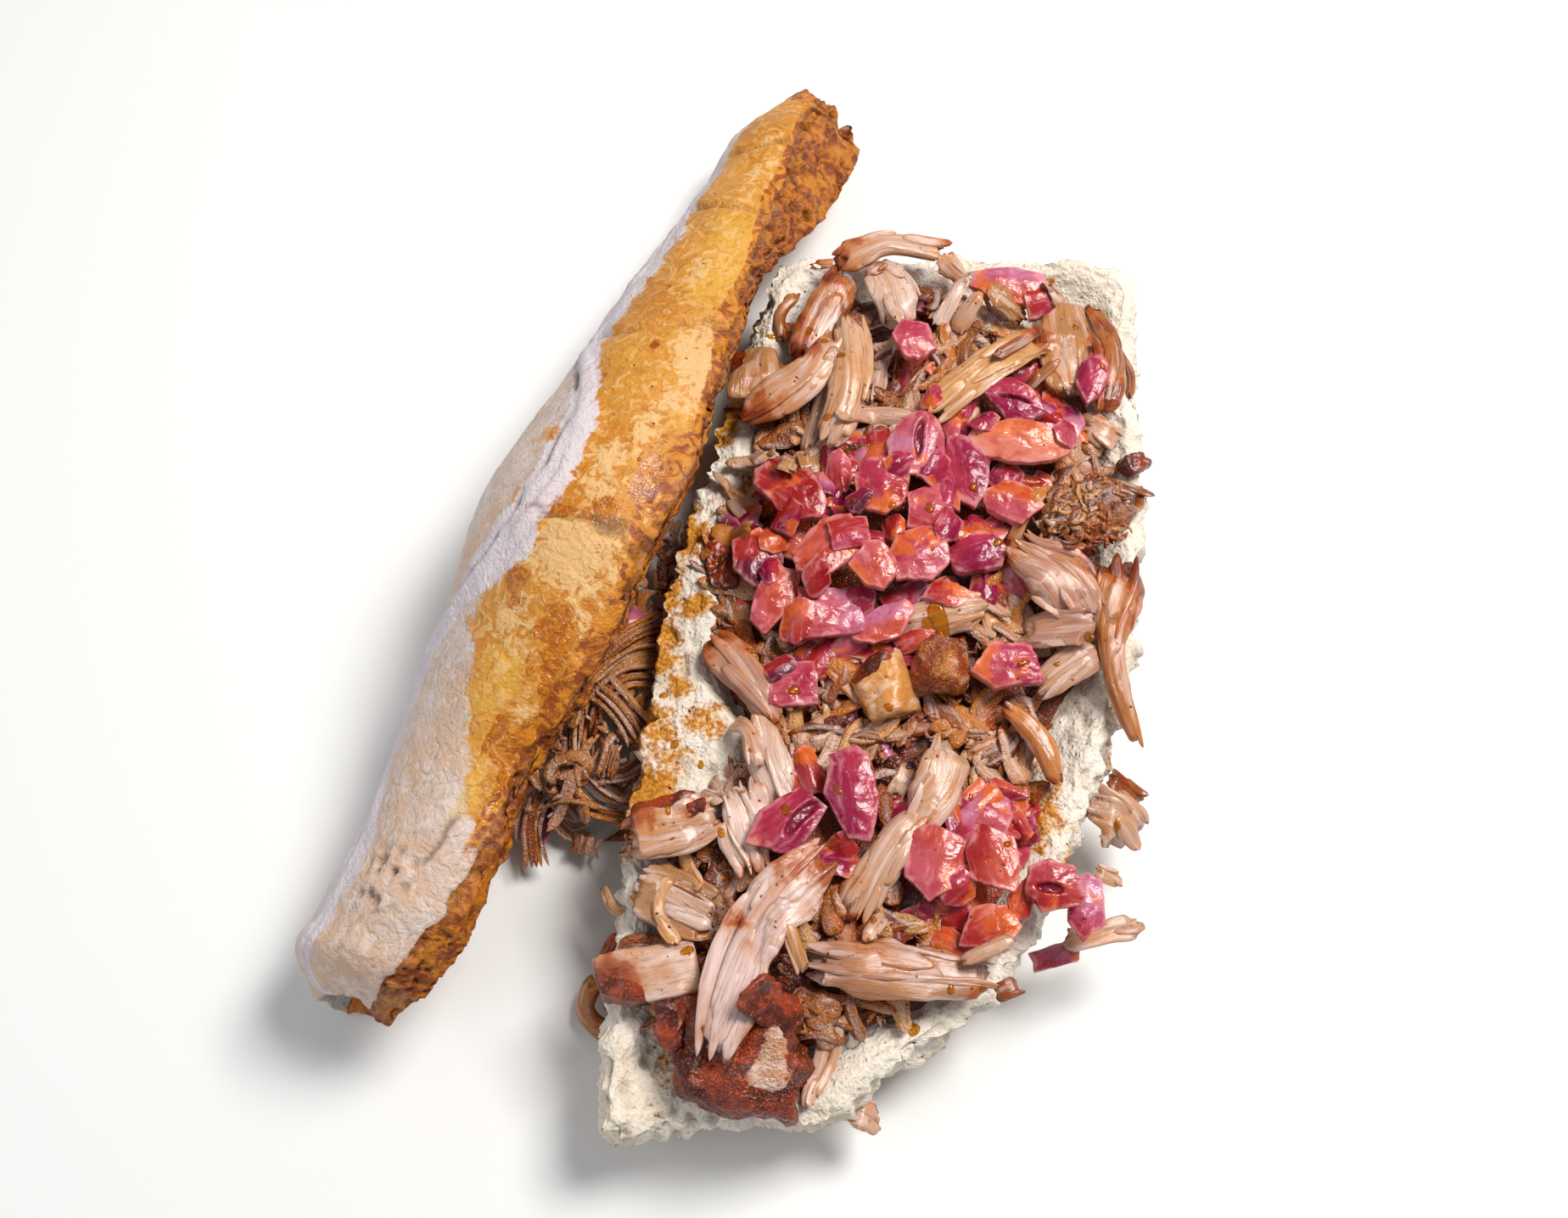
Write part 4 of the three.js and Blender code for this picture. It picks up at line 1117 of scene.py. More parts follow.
PIECES = {  # tone, bark, loose strands and how loose they are, how deep the steps are
    "shred_great": (tone(222, 192, 184), 0, 4, 1.2, 0.6), "shred_horn": (tone(172, 106, 52), 0, 3, 0.8, 0.5),
    "shred_arch": (PALE, 0, 2, 1.0, 0.4), "shred_flap": (PALE, 0, 3, 1.1, 0.5),
    "shred_peak": (WHITE, 0, 3, 1.0, 0.4), "shred_grain": (tone(208, 164, 130), 0, 4, 1.0, 0.6),
    "shred_cross": (YELLOW, 0, 5, 1.2, 0.6), "shred_stained": (BROWN, 0.2, 2, 0.6, 0.5),
    "shred_rind": (BROWN, 0.3, 3, 0.6, 0.6), "shred_fan": (PINK, 0, 8, 1.3, 0.7),
    "shred_west": (PINK, 0, 4, 0.9, 0.6), "shred_white": (WHITE, 0, 6, 1.4, 0.6),
    "shred_feather": (WHITE, 0, 7, 1.8, 0.7), "shred_diag": (PALE, 0, 3, 1.0, 0.5),
    "shred_middle": (PALE, 0, 3, 1.0, 0.5), "shred_broad": (tone(168, 122, 102), 0, 6, 1.2, 0.7),
    "strip_pool": (PALE, 0, 2, 0.5, 0.4), "strip_east": (PALE, 0, 1, 0.8, 0.3),
    "strip_rim": (AMBER, 0, 1, 0.8, 0.3),
}


def browned(places):
    """How browned the meat is at each place."""
    stain = np.zeros(places.shape[:-1])
    for x, y, reach, strength in BROWNED:
        gap = np.hypot(places[..., 0] - HOME[0] - x, places[..., 1] - HOME[1] - y)
        stain = np.maximum(stain, strength * hump(gap, reach))
    return stain


def brown_all(pile):
    """Gives every place of a pile its browning."""
    pile.values["stain"] = [browned(places) for places in pile.places]


# %% Shreds and strips
for order, (node, (colour, bark, strands, loose, step)) in enumerate(PIECES.items()):
    line, width, height = strip_of(node, 58)
    if node == "shred_horn":
        # this one is broad and frayed at its far end and comes to a point at the near one
        width = width * (0.5 + 0.6 * rise(-34, -14, line[:, 1]))
    pile = Pile()
    bundle(pile, line, width, height, order + 3, strands, 60, loose, step, tone=colour, bark=bark)
    brown_all(pile)
    pile.piece(node + "_meat", MEAT, "pork", node)
print("shreds:", len(PIECES), "triangles", sum(TALLY[node + "_meat"] for node in PIECES))

# %% [markdown]
# ## Slabs, chunks and the minced clump
# Chunks are cut or torn across the fibres, so they have flat sides and blunt corners. Each is a
# rounded block bounded by a dozen planes at uneven distances, made to fill the box of its solid, and
# then lumps, grain and bark are pushed into it.

# %% Chunks
def hewn(pile, middle, axes, half, seed, planes=11, lumps=0.5, grain=0.15, sharp=14, **values):
    """A block with flat sides: half is its half sizes along the three axes."""
    rows, sides = (46, 60) if half[0] > 6 else (28, 36)
    draw = np.random.default_rng(seed)
    turn = 2 * np.pi * np.arange(sides) / sides
    fall = np.linspace(0.03, np.pi - 0.03, rows)[:, None]
    way = together(np.sin(fall) * np.cos(turn), np.sin(fall) * np.sin(turn), np.cos(fall))
    normals = np.concatenate([np.eye(3), -np.eye(3), unit(draw.normal(size=(planes, 3)))])
    off = np.concatenate([draw.uniform(0.85, 1, 6), draw.uniform(0.8, 1.2, planes)])
    pull = np.clip(way @ normals.T, 0, None) / off
    reach = (pull**sharp).sum(-1) ** (-1 / sharp)
    local = way * reach[..., None]
    local /= np.abs(local).max(axis=(0, 1))
    rings = middle + (local * half) @ axes
    ridges = np.abs(layered(rings, 2.6, seed + 4, 2))
    push = lumps * (0.9 * layered(rings, 6.0, seed + 2, 2) - 0.5 * ridges + 0.1)
    push += grain * (0.45 - cells(rings, 1.3, seed + 6))
    rings = pushed(rings, push)
    rings[:, :, 2] = np.maximum(rings[:, :, 2], 0.2)
    along = rings @ axes.T
    pile.add(rings, fibre=along + 3.1 * seed, tip=0.0, **values)


def box_of(node):
    """Middle, long, cross and upright directions, and half sizes of a compact solid."""
    points, _ = surface_points(node, 4000)
    middle = points.mean(0)
    ahead = np.linalg.svd((points - middle)[:, :2], full_matrices=False)[2][0]
    axes = np.array([[*ahead, 0], [-ahead[1], ahead[0], 0], [0, 0, 1.0]])
    local = (points - middle) @ axes.T
    low, high = np.quantile(local, [0.003, 0.997], axis=0)
    return middle + ((low + high) / 2) @ axes, axes, (high - low) / 2


LUMPS = {  # tone, bark, flat sides, lumps, grain, how sharp its edges are
    "slab_pale": (BEIGE, 0.05, 7, 0.5, 0.0, 12), "slab_upper": (PALE, 0.0, 9, 0.9, 0.1, 14),
    "slab_lower": (BEIGE, 0, 9, 1.3, 0.1, 12), "chunk_west": (BEIGE, 0.1, 9, 0.5, 0.1, 14),
    "chunk_golden": (tone(214, 152, 84), 0.1, 9, 0.9, 0.3, 16),
    "chunk_crusted": (AMBER, 0.54, 10, 1.6, 0.8, 12),
    "chunk_corner": (WHITE, 0.0, 9, 0.5, 0.0, 26), "chunk_bark": (DEEP, 0.9, 12, 2.4, 1.3, 10),
    "clump_mince": (DEEP, 0.3, 6, 1.8, 0.8, 4),
}
SKINS = {  # where the dark outer skin of the meat is on a chunk: the way it faces and where it starts
    "slab_upper": (-0.2, 1.0, 0.1, 0.62), "chunk_corner": (-0.6, -0.7, 0.0, 0.60),
    "slab_pale": (0.9, -0.4, 0.0, 0.85), "chunk_west": (-0.8, 0.5, 0.0, 0.85),
    "chunk_golden": (-0.5, 0.8, 0.3, 0.72),
}
CUT_FACE = np.array([(3.5, -102.0), (11.8, -102.0), (11.6, -90.0), (8.0, -91.5)])  # pale cut face of a chunk


def skinned(pile, node, middle):
    """Puts bark on the outer side of a chunk, and a pale cut face on the crusted one."""
    for k, places in enumerate(pile.places):
        if node in SKINS:
            *way, start = SKINS[node]
            facing = unit(places - middle) @ unit(np.array(way))
            facing = facing + 0.12 * bumps(places, 3.0, 8)
            skin = rise(start - 0.1, start + 0.1, facing)
            pile.values["bark"][k] = np.maximum(pile.values["bark"][k], skin)
        if node == "chunk_bark":
            spot = places[:, :2] - HOME
            inside = 9.0 + 0 * spot[:, 0]
            for near, far in zip(CUT_FACE, np.roll(CUT_FACE, -1, 0)):
                way = unit(far - near)
                inside = np.minimum(inside, way[0] * (spot - near)[:, 1] - way[1] * (spot - near)[:, 0])
            pale = rise(-0.5, 0.5, inside + 0.8 * bumps(places, 1.6, 9)) * (places[:, 2] > middle[2])
            pile.values["bark"][k] = pile.values["bark"][k] * (1 - pale)
            pile.values["tone"][k] = pile.values["tone"][k] + (PALE - DEEP) * pale[:, None]


MINCE_THREADS = 230
# these are built smaller than their solids, to leave room for the strands laid over them
LEFT_ROOM = {"clump_mince": 0.8, "slab_upper": 0.92, "slab_lower": 0.92, "slab_pale": 0.92}
for order, (node, (colour, bark, planes, lumps, grain, sharp)) in enumerate(LUMPS.items()):
    middle, axes, half = box_of(node)
    pile = Pile()
    shown = half * LEFT_ROOM.get(node, 1.0)
    hewn(pile, middle, axes, shown, order + 50, planes, lumps, grain, sharp, tone=colour, bark=bark)
    if node.startswith("slab"):
        # thin sheets of fat and threads of meat lie side by side on a slab
        line, width, height = strip_of(node, 30)
        side, top = frame_of(line)
        draw = np.random.default_rng(order)
        for k, off in enumerate((-0.72, -0.3, 0.12, 0.55)):
            lift = top * (0.84 * height * np.sqrt(1 - off**2))[:, None]
            sheet = line + side * ((off + draw.uniform(-0.08, 0.08)) * width)[:, None] + lift
            own = (colour, WHITE, PALE, BEIGE)[k]
            wide = width * draw.uniform(0.26, 0.4)
            ribbon(pile, sheet, wide, 0.9, 40 * order + k, 26, 0.4, 1.2, 2.0, tone=own, bark=0.0)
            trim = slice(int(draw.integers(0, 9)), int(draw.integers(18, 30)))
            thread = sheet[trim] + side[trim] * 0.2 * width[trim, None] + [0, 0, 0.5]
            wide = draw.uniform(0.3, 0.8)
            strand(pile, thread, wide, 0.3, 41 * order + k, 6, tone=BROWN, bark=0.2)
    if node == "clump_mince":
        draw = np.random.default_rng(77)
        for k in range(MINCE_THREADS):
            way = unit(np.array([draw.normal(), draw.normal(), abs(draw.normal()) + 0.15]))
            spot = middle + (way * half * draw.uniform(0.76, 0.92)) @ axes
            bend = draw.uniform(0, 6)
            turn = np.linspace(0, draw.uniform(1, 4), 9)
            curl = together(np.cos(turn + bend), np.sin(turn + bend), 0.25 * np.sin(2 * turn))
            line = spot + (curl - curl.mean(0)) * draw.uniform(1.0, 2.6) + [0, 0, 0.3]
            own = (BROWN, BEIGE, YELLOW, DEEP, BROWN)[draw.integers(5)]
            wide = draw.uniform(0.3, 0.8)
            burnt = draw.random() * 0.35
            strand(pile, line, wide, wide * 0.8, k + 900, 5, tone=own, bark=burnt)
    skinned(pile, node, middle)
    brown_all(pile)
    look = FAT if node.startswith("slab") else BARK if bark > 0.2 else MEAT
    slot = "fat" if node.startswith("slab") else "bark" if bark > 0.2 else "pork"
    pile.piece(node + "_meat", look, slot, node)
print("lumps:", len(LUMPS), "triangles", sum(TALLY[node + "_meat"] for node in LUMPS))

# %% [markdown]
# ## Pickled onion
# Red onion is chopped into short pieces of one or two layers and pickled pink. A piece is a patch of
# layer with straight cut sides: a folded top with a few flat faces, a thin crisp wall round it and a
# hollow underside. Its place, size and bow come from its solid, by fitting a bowed sheet through the
# upper corners of the solid. Some pieces have parted layers, and the slit between them is painted
# dark red as shade.

# %% Bow of a piece, read from its solid
def bowed(u, v):
    """The terms of a bowed sheet: level, two slopes, two bows and a twist."""
    return together(1, u, v, u * u, v * v, u * v)


def sheet_of(node, turn):
    """Middle and half sizes of a piece seen from above, and the bowed sheet that its top follows."""
    points, facing = surface_points(node, 3000)
    ahead = np.array([math.cos(turn), math.sin(turn)])
    axes = np.stack([ahead, [-ahead[1], ahead[0]]])
    flat = points[:, :2] @ axes.T
    low, high = np.quantile(flat, [0.004, 0.996], axis=0)
    middle, half = (low + high) / 2, (high - low) / 2
    u, v = ((flat - middle) / half).T
    top = facing[:, 2] > 0.25
    basis = bowed(u, v)
    pull = np.diag([0, 0.02, 0.02, 0.3, 0.3, 0.3]) * top.sum() * 0.2
    system = basis[top].T @ basis[top] + pull
    bow = np.linalg.solve(system, basis[top].T @ points[top, 2]) * [1, 1, 1, 0.5, 0.5, 0.7]
    return middle @ axes, half, axes, bow


# %% Outline and folds of a piece
def cut_outline(angle, corner, draw):
    """How far a piece reaches each way, and the ways: a lens, or a polygon with crisp corners."""
    if corner <= 2.1:
        c, s = np.abs(np.cos(angle)), np.abs(np.sin(angle))
        reach = (c**1.5 + s**1.9) ** (-1 / 1.7)
    else:
        count = 4 if corner >= 3.6 else int(draw.integers(5, 8))
        loose = 0.07 if count == 4 else 0.24
        way = 2 * np.pi * (np.arange(count) + draw.uniform(-loose, loose, count)) / count
        way += 0.0 if count == 4 else draw.uniform(0, 2 * np.pi)
        off = draw.uniform(0.9, 1.0, count) if count == 4 else draw.uniform(0.74, 1.0, count)
        # where two neighbouring sides meet, one place of the outline is moved onto the corner
        for k in range(count):
            pair = [k, (k + 1) % count]
            sides = np.stack([np.cos(way[pair]), np.sin(way[pair])], 1)
            meet = np.linalg.solve(sides, off[pair])
            at = np.arctan2(meet[1], meet[0]) % (2 * np.pi)
            angle[np.argmin(np.abs(angle - at))] = at
        pull = np.clip(np.cos(angle[:, None] - way), 0, None) / off
        reach = (pull**60).sum(1) ** (-1 / 60)
    for wave in (3, 5, 9, 14):
        swing = draw.uniform(-0.035, 0.035) / wave**0.3
        reach = reach * (1 + swing * np.sin(wave * angle + draw.uniform(0, 6)))
    reach /= 0.5 * (np.abs(reach * np.cos(angle)).max() + np.abs(reach * np.sin(angle)).max())
    return angle, reach


def folded(u, v, ridge, draw, sharp=7.0):
    """A top of a few flat faces that meet in soft ridges; ridge is their fall in millimetres."""
    count = int(draw.integers(2, 5))
    first_way = draw.uniform(0, 2 * np.pi)
    way = first_way + 2 * np.pi * (np.arange(count) + draw.uniform(-0.25, 0.25, count)) / count
    if count == 2:
        way = np.array([np.pi / 2, -np.pi / 2]) + draw.uniform(-0.4, 0.4)
    start = draw.uniform(0.0, 0.45, count)
    fall = start + draw.uniform(0.5, 1.0, count) * (u[..., None] * np.cos(way) + v[..., None] * np.sin(way))
    return -ridge * np.log(np.exp(sharp * fall).sum(-1)) / sharp


# %% One piece of onion
def petal(pile, middle, half, axes, bow, look, seed, sides=56, fine=1.0):
    """A patch of onion layer. look gives its corner, thickness, tones, slits and ridge."""
    draw = np.random.default_rng(seed)
    angle = 2 * np.pi * np.arange(sides) / sides
    angle, reach = cut_outline(angle, look["corner"], draw)
    thick = look.get("thick", 2.6)
    under = np.linspace(0.1, 0.9, int(4 * fine) + 1)
    over = np.concatenate([[0.985], np.linspace(0.93, 0.06, int(13 * fine))])
    share = np.concatenate([under, [0.96, 0.985, 1.0, 1.0], over])
    depth = np.concatenate([1.0 - 0.1 * under**2, [0.86, 0.62, 0.3, 0.03], 0 * over])
    u, v = share[:, None] * reach * np.cos(angle), share[:, None] * reach * np.sin(angle)
    height = bowed(u, v) @ bow
    spot = together(u * half[0], v * half[1], depth[:, None] * 2) + 17.1 * seed
    edge = rise(0.72, 1.0, share)[:, None]
    height = height + folded(u, v, look.get("ridge", 1.7), draw) + 0.1
    height += 0.4 * layered(spot, 5.0, seed, 2) + 0.2 * layered(spot, 1.7, seed + 3, 2)
    opening = np.zeros(u.shape)
    for cut_u, cut_v, long, wide in look.get("slits", ()):
        gap = ((u - cut_u) / long) ** 2 + ((v - cut_v - 0.12 * np.sin(3 * u)) / wide) ** 2
        gap = gap + 0.35 * bumps(spot, 2.6, seed + 8)
        opening = np.maximum(opening, rise(1.25, 0.5, gap))
        height += 0.2 * hump(gap - 1.5, 1) * (depth[:, None] < 0.5)
    height = height - thick * np.minimum(depth[:, None], 1) - 1.3 * opening * (depth[:, None] < 0.1)
    wander = 0.3 * layered(spot, 2.2, seed + 9, 2) * edge
    out_u, out_v = u * (half[0] - 0.2) + wander, v * (half[1] - 0.2) + wander
    place = middle + out_u[..., None] * axes[0] + out_v[..., None] * axes[1]
    rings = np.concatenate([place, height[..., None]], -1)
    rings[..., 2] = np.maximum(rings[..., 2], 0.2)
    first, second = (np.asarray(look[key]) for key in ("tone", "other"))
    way = draw.uniform(0, 2 * np.pi)
    slope = u * math.cos(way) + v * math.sin(way) + 0.5 * bumps(spot, 6.0, seed + 12)
    colour = first + (second - first) * rise(-0.4, 0.5, slope)[..., None]
    rim = rise(0.6, 1.0, share)[:, None] + 0 * u
    far = draw.uniform(0, 2 * np.pi)
    amber = 0.75 * bumps(spot, 5.5, seed + 20) + 0.5 * (u * math.cos(far) + v * math.sin(far)) - 0.1
    amber = amber + look.get("amber", 0.0)
    veins = together(u * half[0], v * half[1], height) + 5.3 * seed
    # deep is how far into a slit a place is, which the paint darkens as painted shade
    pile.add(rings, tone=colour, rim=rim, deep=opening, amber=amber, veins=veins)


# %% Onion paint
def onion_paint():
    """Wet layers: coral, pink and magenta, orange where the juice has soaked in."""
    paint = Paint("onion")
    veins = paint.grain(1.0, 2.0, paint.stretched(paint.read("veins", "Vector"), (0.2, 0.8, 0.4)), 0.6)
    blotch = paint.grain(260.0, 2.0, warp=0.6)
    wrinkle = paint.grain(620.0, 2.0, warp=0.4)
    own = paint.read("tone", "Color")
    colour = paint.blend(veins.rise(0.5, 0.75) * 0.32, own, tone(232, 162, 170))
    colour = paint.blend(blotch.rise(0.54, 0.34) * 0.45, colour, tone(206, 84, 104), "MULTIPLY")
    amber = (paint.read("amber") + (blotch - 0.5) * 2.0).rise(0.2, 0.6)
    colour = paint.blend(amber * 0.8, colour, tone(214, 100, 28))
    rim = (paint.read("rim") + (blotch - 0.5) * 2.2).rise(0.6, 1.2)
    colour = paint.blend(rim * 0.45, colour, tone(234, 160, 158))
    # painted shade: the slit between parted layers is painted dark red, as the shade in that narrow gap
    colour = paint.blend(paint.read("deep").rise(0.1, 0.9) * 0.95, colour, tone(112, 4, 34))
    rough = 0.13 + blotch * 0.26
    lumpy = paint.relief(wrinkle, 0.00025)
    changing = {"Base Color": colour, "Roughness": rough, "Normal": lumpy}
    return paint.finish(changing, Specular_IOR_Level=0.6, IOR=1.45)


ONION = onion_paint()
CORAL, SALMON, ORANGE = tone(166, 36, 34), tone(194, 80, 60), tone(196, 82, 26)
ROSE, MAGENTA, LAVENDER = tone(170, 44, 72), tone(140, 14, 62), tone(192, 112, 142)
RUBY, BLUSH, PLUM = tone(146, 2, 14), tone(188, 80, 92), tone(96, 6, 42)

LAYERS = {  # each named piece: the turn of its long side, two tones, corner and any special looks
    "tile": (-62, SALMON, BLUSH, 2.8, dict(ridge=0.9, amber=0.1)),
    "twist": (48, SALMON, CORAL, 2.2),
    "jewel": (-38, RUBY, CORAL, 3, dict(thick=3.4, amber=0.2)),
    "spindle": (-6, tone(214, 112, 64), tone(222, 128, 104), 1.8, dict(amber=0.1)),
    "tent": (72, BLUSH, LAVENDER, 1.9, dict(slits=((0.1, -0.1, 0.62, 0.17),), ridge=2.2)),
    "long": (66, SALMON, BLUSH, 2.4),
    "bowl": (25, ROSE, BLUSH, 2.5),
    "ruby": (105, CORAL, ROSE, 2.4, dict(amber=0.2)),
    "plum": (80, PLUM, CORAL, 2.6),
    "wine": (100, MAGENTA, ROSE, 2.2, dict(amber=-0.3)),
    "blush": (150, CORAL, BLUSH, 2.4),
    "cube": (-32, ORANGE, BLUSH, 3.2, dict(thick=3.4, ridge=1.0, amber=0.2)),
    "loaf": (18, MAGENTA, ROSE, 3, dict(thick=3.6, amber=-0.1)),
    "violet": (4, BLUSH, LAVENDER, 4.5, dict(ridge=0.7, amber=-0.4)),
    "shell": (28, SALMON, LAVENDER, 2.4),
    "rose": (4, ROSE, BLUSH, 4.5, dict(ridge=0.8, amber=-0.2)),
    "lobes": (155, ROSE, MAGENTA, 2.6, dict(slits=((0.0, 0.1, 0.5, 0.1),), amber=-0.1)),
    "pearl": (-10, SALMON, LAVENDER, 2.8, dict(ridge=1.4, amber=0.1)),
    "square": (5, BLUSH, ROSE, 2.8, dict(ridge=1.0, amber=0.0)),
    "drop": (75, ROSE, MAGENTA, 2.2, dict(amber=-0.1)),
    "block": (-4, ROSE, BLUSH, 2.8, dict(thick=3.4, ridge=1.2, amber=0.35)),
    "leaf": (96, MAGENTA, ROSE, 2.4, dict(amber=-0.4)),
    "slit": (38, ROSE, MAGENTA, 2.4, dict(slits=((0.25, -0.25, 0.5, 0.2),), amber=-0.3)),
    "cheek": (78, BLUSH, SALMON, 3, dict(amber=-0.1)),
    "coral": (100, SALMON, CORAL, 2.8),
    "mouth": (-24, BLUSH, CORAL, 2.4, dict(slits=((0.0, -0.2, 0.5, 0.2),))),
    "flame": (24, CORAL, ORANGE, 2.4, dict(amber=0.2)),
    "edge": (78, LAVENDER, ROSE, 3, dict(amber=-0.3)),
}
for order, (name, (turn, first, second, corner, *special)) in enumerate(LAYERS.items()):
    pile = Pile()
    look = dict(tone=first, other=second, corner=corner)
    look.update(*special)
    petal(pile, *sheet_of("onion_" + name, math.radians(turn)), look, order + 1)
    pile.piece(f"onion_{name}_layer", ONION, "onion", "onion_" + name)
print("onion pieces:", len(LAYERS), "triangles", sum(TALLY[f"onion_{name}_layer"] for name in LAYERS))

# %% [markdown]
# ## What lies beneath
# Small pieces need to know how high the heap is under them. A ray dropped onto the solids gives
# that: onto all of them but the lid, onto the two beds and the heel, or onto the bed alone.

# %% Dropping rays
def ground(nodes):
    """A tree of those solids' faces that rays can be dropped on."""
    places, faces, count = [], [], 0
    for node in nodes:
        own, triangles = solid_of(node)
        places.append(own)
        faces.append(triangles + count)
        count += len(own)
    return BVHTree.FromPolygons(np.concatenate(places).tolist(), np.concatenate(faces).tolist())


ABOVE_ALL = 90.0  # a height that clears the whole sandwich
DOWN = Vector((0, 0, -1))
everything = ground([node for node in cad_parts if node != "bread_lid"])
beds = ground(["pork_bed", "pork_spill", "bread_heel"])
bed_only = ground(["pork_bed"])


def drop(tree, x, y, otherwise=None):
    """The height of the first face under a point."""
    hit = tree.ray_cast(Vector((x, y, ABOVE_ALL)), DOWN)
    return otherwise if hit[0] is None else hit[0].z


def box_in_mm(node):
    """The lowest and the highest corner of a solid's box."""
    return [np.array(corner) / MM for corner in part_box(node)]


def somewhere(draw, low, high, margin_x=2, margin_y=2):
    """A place of the plan, so far inside a box."""
    x = draw.uniform(low[0] + margin_x, high[0] - margin_x)
    return x, draw.uniform(low[1] + margin_y, high[1] - margin_y)


def laid(tree, points, lift, sag=0.5):
    """A line laid over the heap through a few points of the plan, without dipping into gaps."""
    heights = [drop(tree, x, y) for x, y in points]
    beyond = min([height for height in heights if height is not None], default=20.0)
    heights = np.array([beyond if height is None else height for height in heights])
    level = np.maximum(heights, sag * heights.mean() + (1 - sag) * heights)
    return np.concatenate([np.asarray(points, float), level[:, None] + lift], 1)


# %% [markdown]
# ## The bed of small shreds
# Under the large pieces the heap is small shreds and mince. They are real strands over a smaller
# dark core that keeps the crumb from showing through. Where the onions lie, the small pieces in the
# gaps are onion too.

# %% Core of the bed
def core_of(node, pile, sink, rows=84, columns=44, **values):
    """A closed body under a bed's own top, sunk a little and lumpy."""
    tree = ground([node])
    low, high = box_in_mm(node)
    rings = []
    for y in np.linspace(low[1] + 1.0, high[1] - 1.0, rows):
        wide = np.linspace(low[0], high[0], 90)
        hits = [x for x in wide if drop(tree, x, y) is not None]
        if not hits:
            continue
        x = np.linspace(max(hits[0] + 0.6, bare_to(y) + 0.5), hits[-1] - 0.6, columns)
        top = np.array([drop(tree, place, y, low[2]) for place in x]) - sink
        edge = np.sin(np.pi * (np.arange(columns) + 0.5) / columns) ** 0.3
        top = low[2] + (top - low[2]) * edge
        upper = together(x, y, top)
        lower = upper[::-1].copy()
        lower[:, 2] = low[2] + 0.1
        rings.append(np.concatenate([upper, lower]))
    rings = np.array(rings)
    push = 0.9 * layered(rings, 4.0, 91, 3) - 0.8 * cells(rings, 3.0, 93)
    rings[..., 2] = np.maximum(rings[..., 2] + np.where(np.arange(2 * columns) < columns, push, 0), low[2])
    pile.add(rings, fibre=rings * 0.6, tip=0.0, **values)


# %% Small shreds and mince
def small_shred(pile, tree, x, y, long, wide, turn, draw, colour, bark=0.0, curl=0.35, steps=12):
    """A short flat strand laid over the heap, bent a little."""
    bend = draw.uniform(-curl, curl)
    ways = turn + bend * np.linspace(-2, 2, 5)
    points = together(x + np.cumsum(np.cos(ways)) * long / 5, y + np.cumsum(np.sin(ways)) * long / 5)
    points -= points.mean(0) - [x, y]
    line = laid(tree, points, 0.25 * wide)
    line[:, 2] += draw.uniform(-0.4, 1.2, 5) * 0.6
    line = path(line, steps)
    width = wide / 2 * (1 + 0.2 * np.sin(np.linspace(0, 5, steps) + draw.uniform(0, 6)))
    height = min(wide * draw.uniform(0.12, 0.24), 0.7)
    roll = draw.uniform(-0.7, 0.7) + np.linspace(0, draw.uniform(-0.8, 0.8), steps)
    blunt = draw.uniform(0.12, 0.5, 2)
    strand(pile, line, width, height, draw.integers(1, 9999), 8, blunt, roll, tone=colour, bark=bark)


def mince(pile, tree, x, y, size, draw, colour, bark):
    """A crumb of minced meat on the heap: a few short rough threads stuck together."""
    z = drop(tree, x, y, 20.0) + 0.25 * size
    for _ in range(2):
        turn = draw.uniform(0, np.pi)
        bend = np.linspace(-1, 1, 5)[:, None]
        ahead = np.array([math.cos(turn), math.sin(turn), draw.uniform(-0.5, 0.5)])
        ahead = ahead * size * draw.uniform(0.35, 0.7)
        aside = draw.normal(size=3) * size * 0.16
        line = np.array([x, y, z]) + draw.normal(size=3) * size * 0.16
        line = line + bend * ahead + (bend**2 - 0.5) * aside
        wide = size * draw.uniform(0.14, 0.26)
        order = int(draw.integers(1, 9999))
        strand(pile, line, wide, wide * 0.7, order, 5, (0.5, 0.5), tone=colour, bark=bark)


SHRED_TRIES, SHREDS, CRUMBS = 5200, 285, 430
ONION_ZONES = [  # x, y and reach in x and y, where the small pieces are onion
    (30, 12, 34, 27), (62, 47, 15, 13), (18, -48, 17, 14), (56, -60, 22, 19), (60, 24, 14, 14),
]


def among_onions(x, y):
    """How far into the onion a place is: over 1 is outside."""
    return min(math.hypot((x - HOME[0] - a) / c, (y - HOME[1] - b) / d) for a, b, c, d in ONION_ZONES)


def scatter_shreds():
    """Small shreds and mince all over the part of the bed that large pieces leave open."""
    draw = np.random.default_rng(5)
    low, high = box_in_mm("pork_bed")
    pile = Pile()
    core_of("pork_bed", pile, 1.6, tone=DEEP, bark=0.6)
    shreds, crumbs = 0, 0
    tones = (PALE, PINK, YELLOW, BROWN, BROWN, AMBER, AMBER, DEEP)
    for _ in range(SHRED_TRIES):
        x, y = somewhere(draw, low, high)
        bed, top = drop(bed_only, x, y), drop(everything, x, y, 0)
        if bed is None or top - bed > 2.5 or among_onions(x, y) < 0.85 or x < bare_to(y) + 1.5:
            continue
        colour = tones[draw.integers(len(tones))]
        if draw.random() < 0.42 and shreds < SHREDS:
            long, wide = draw.uniform(7, 19), draw.uniform(1.6, 5.0)
            turn = draw.uniform(0, np.pi)
            small_shred(pile, beds, x, y, long, wide, turn, draw, colour, draw.random() * 0.35)
            shreds += 1
        elif crumbs < CRUMBS:
            colour = (BROWN, DEEP, AMBER, BROWN)[draw.integers(4)]
            mince(pile, beds, x, y, draw.uniform(1.2, 3.4), draw, colour, draw.uniform(0.1, 0.7))
            crumbs += 1
    brown_all(pile)
    pile.piece("bed_of_shreds", BARK, "bark", "pork_bed")
    print("small shreds:", shreds, "crumbs:", crumbs, "triangles", TALLY["bed_of_shreds"])


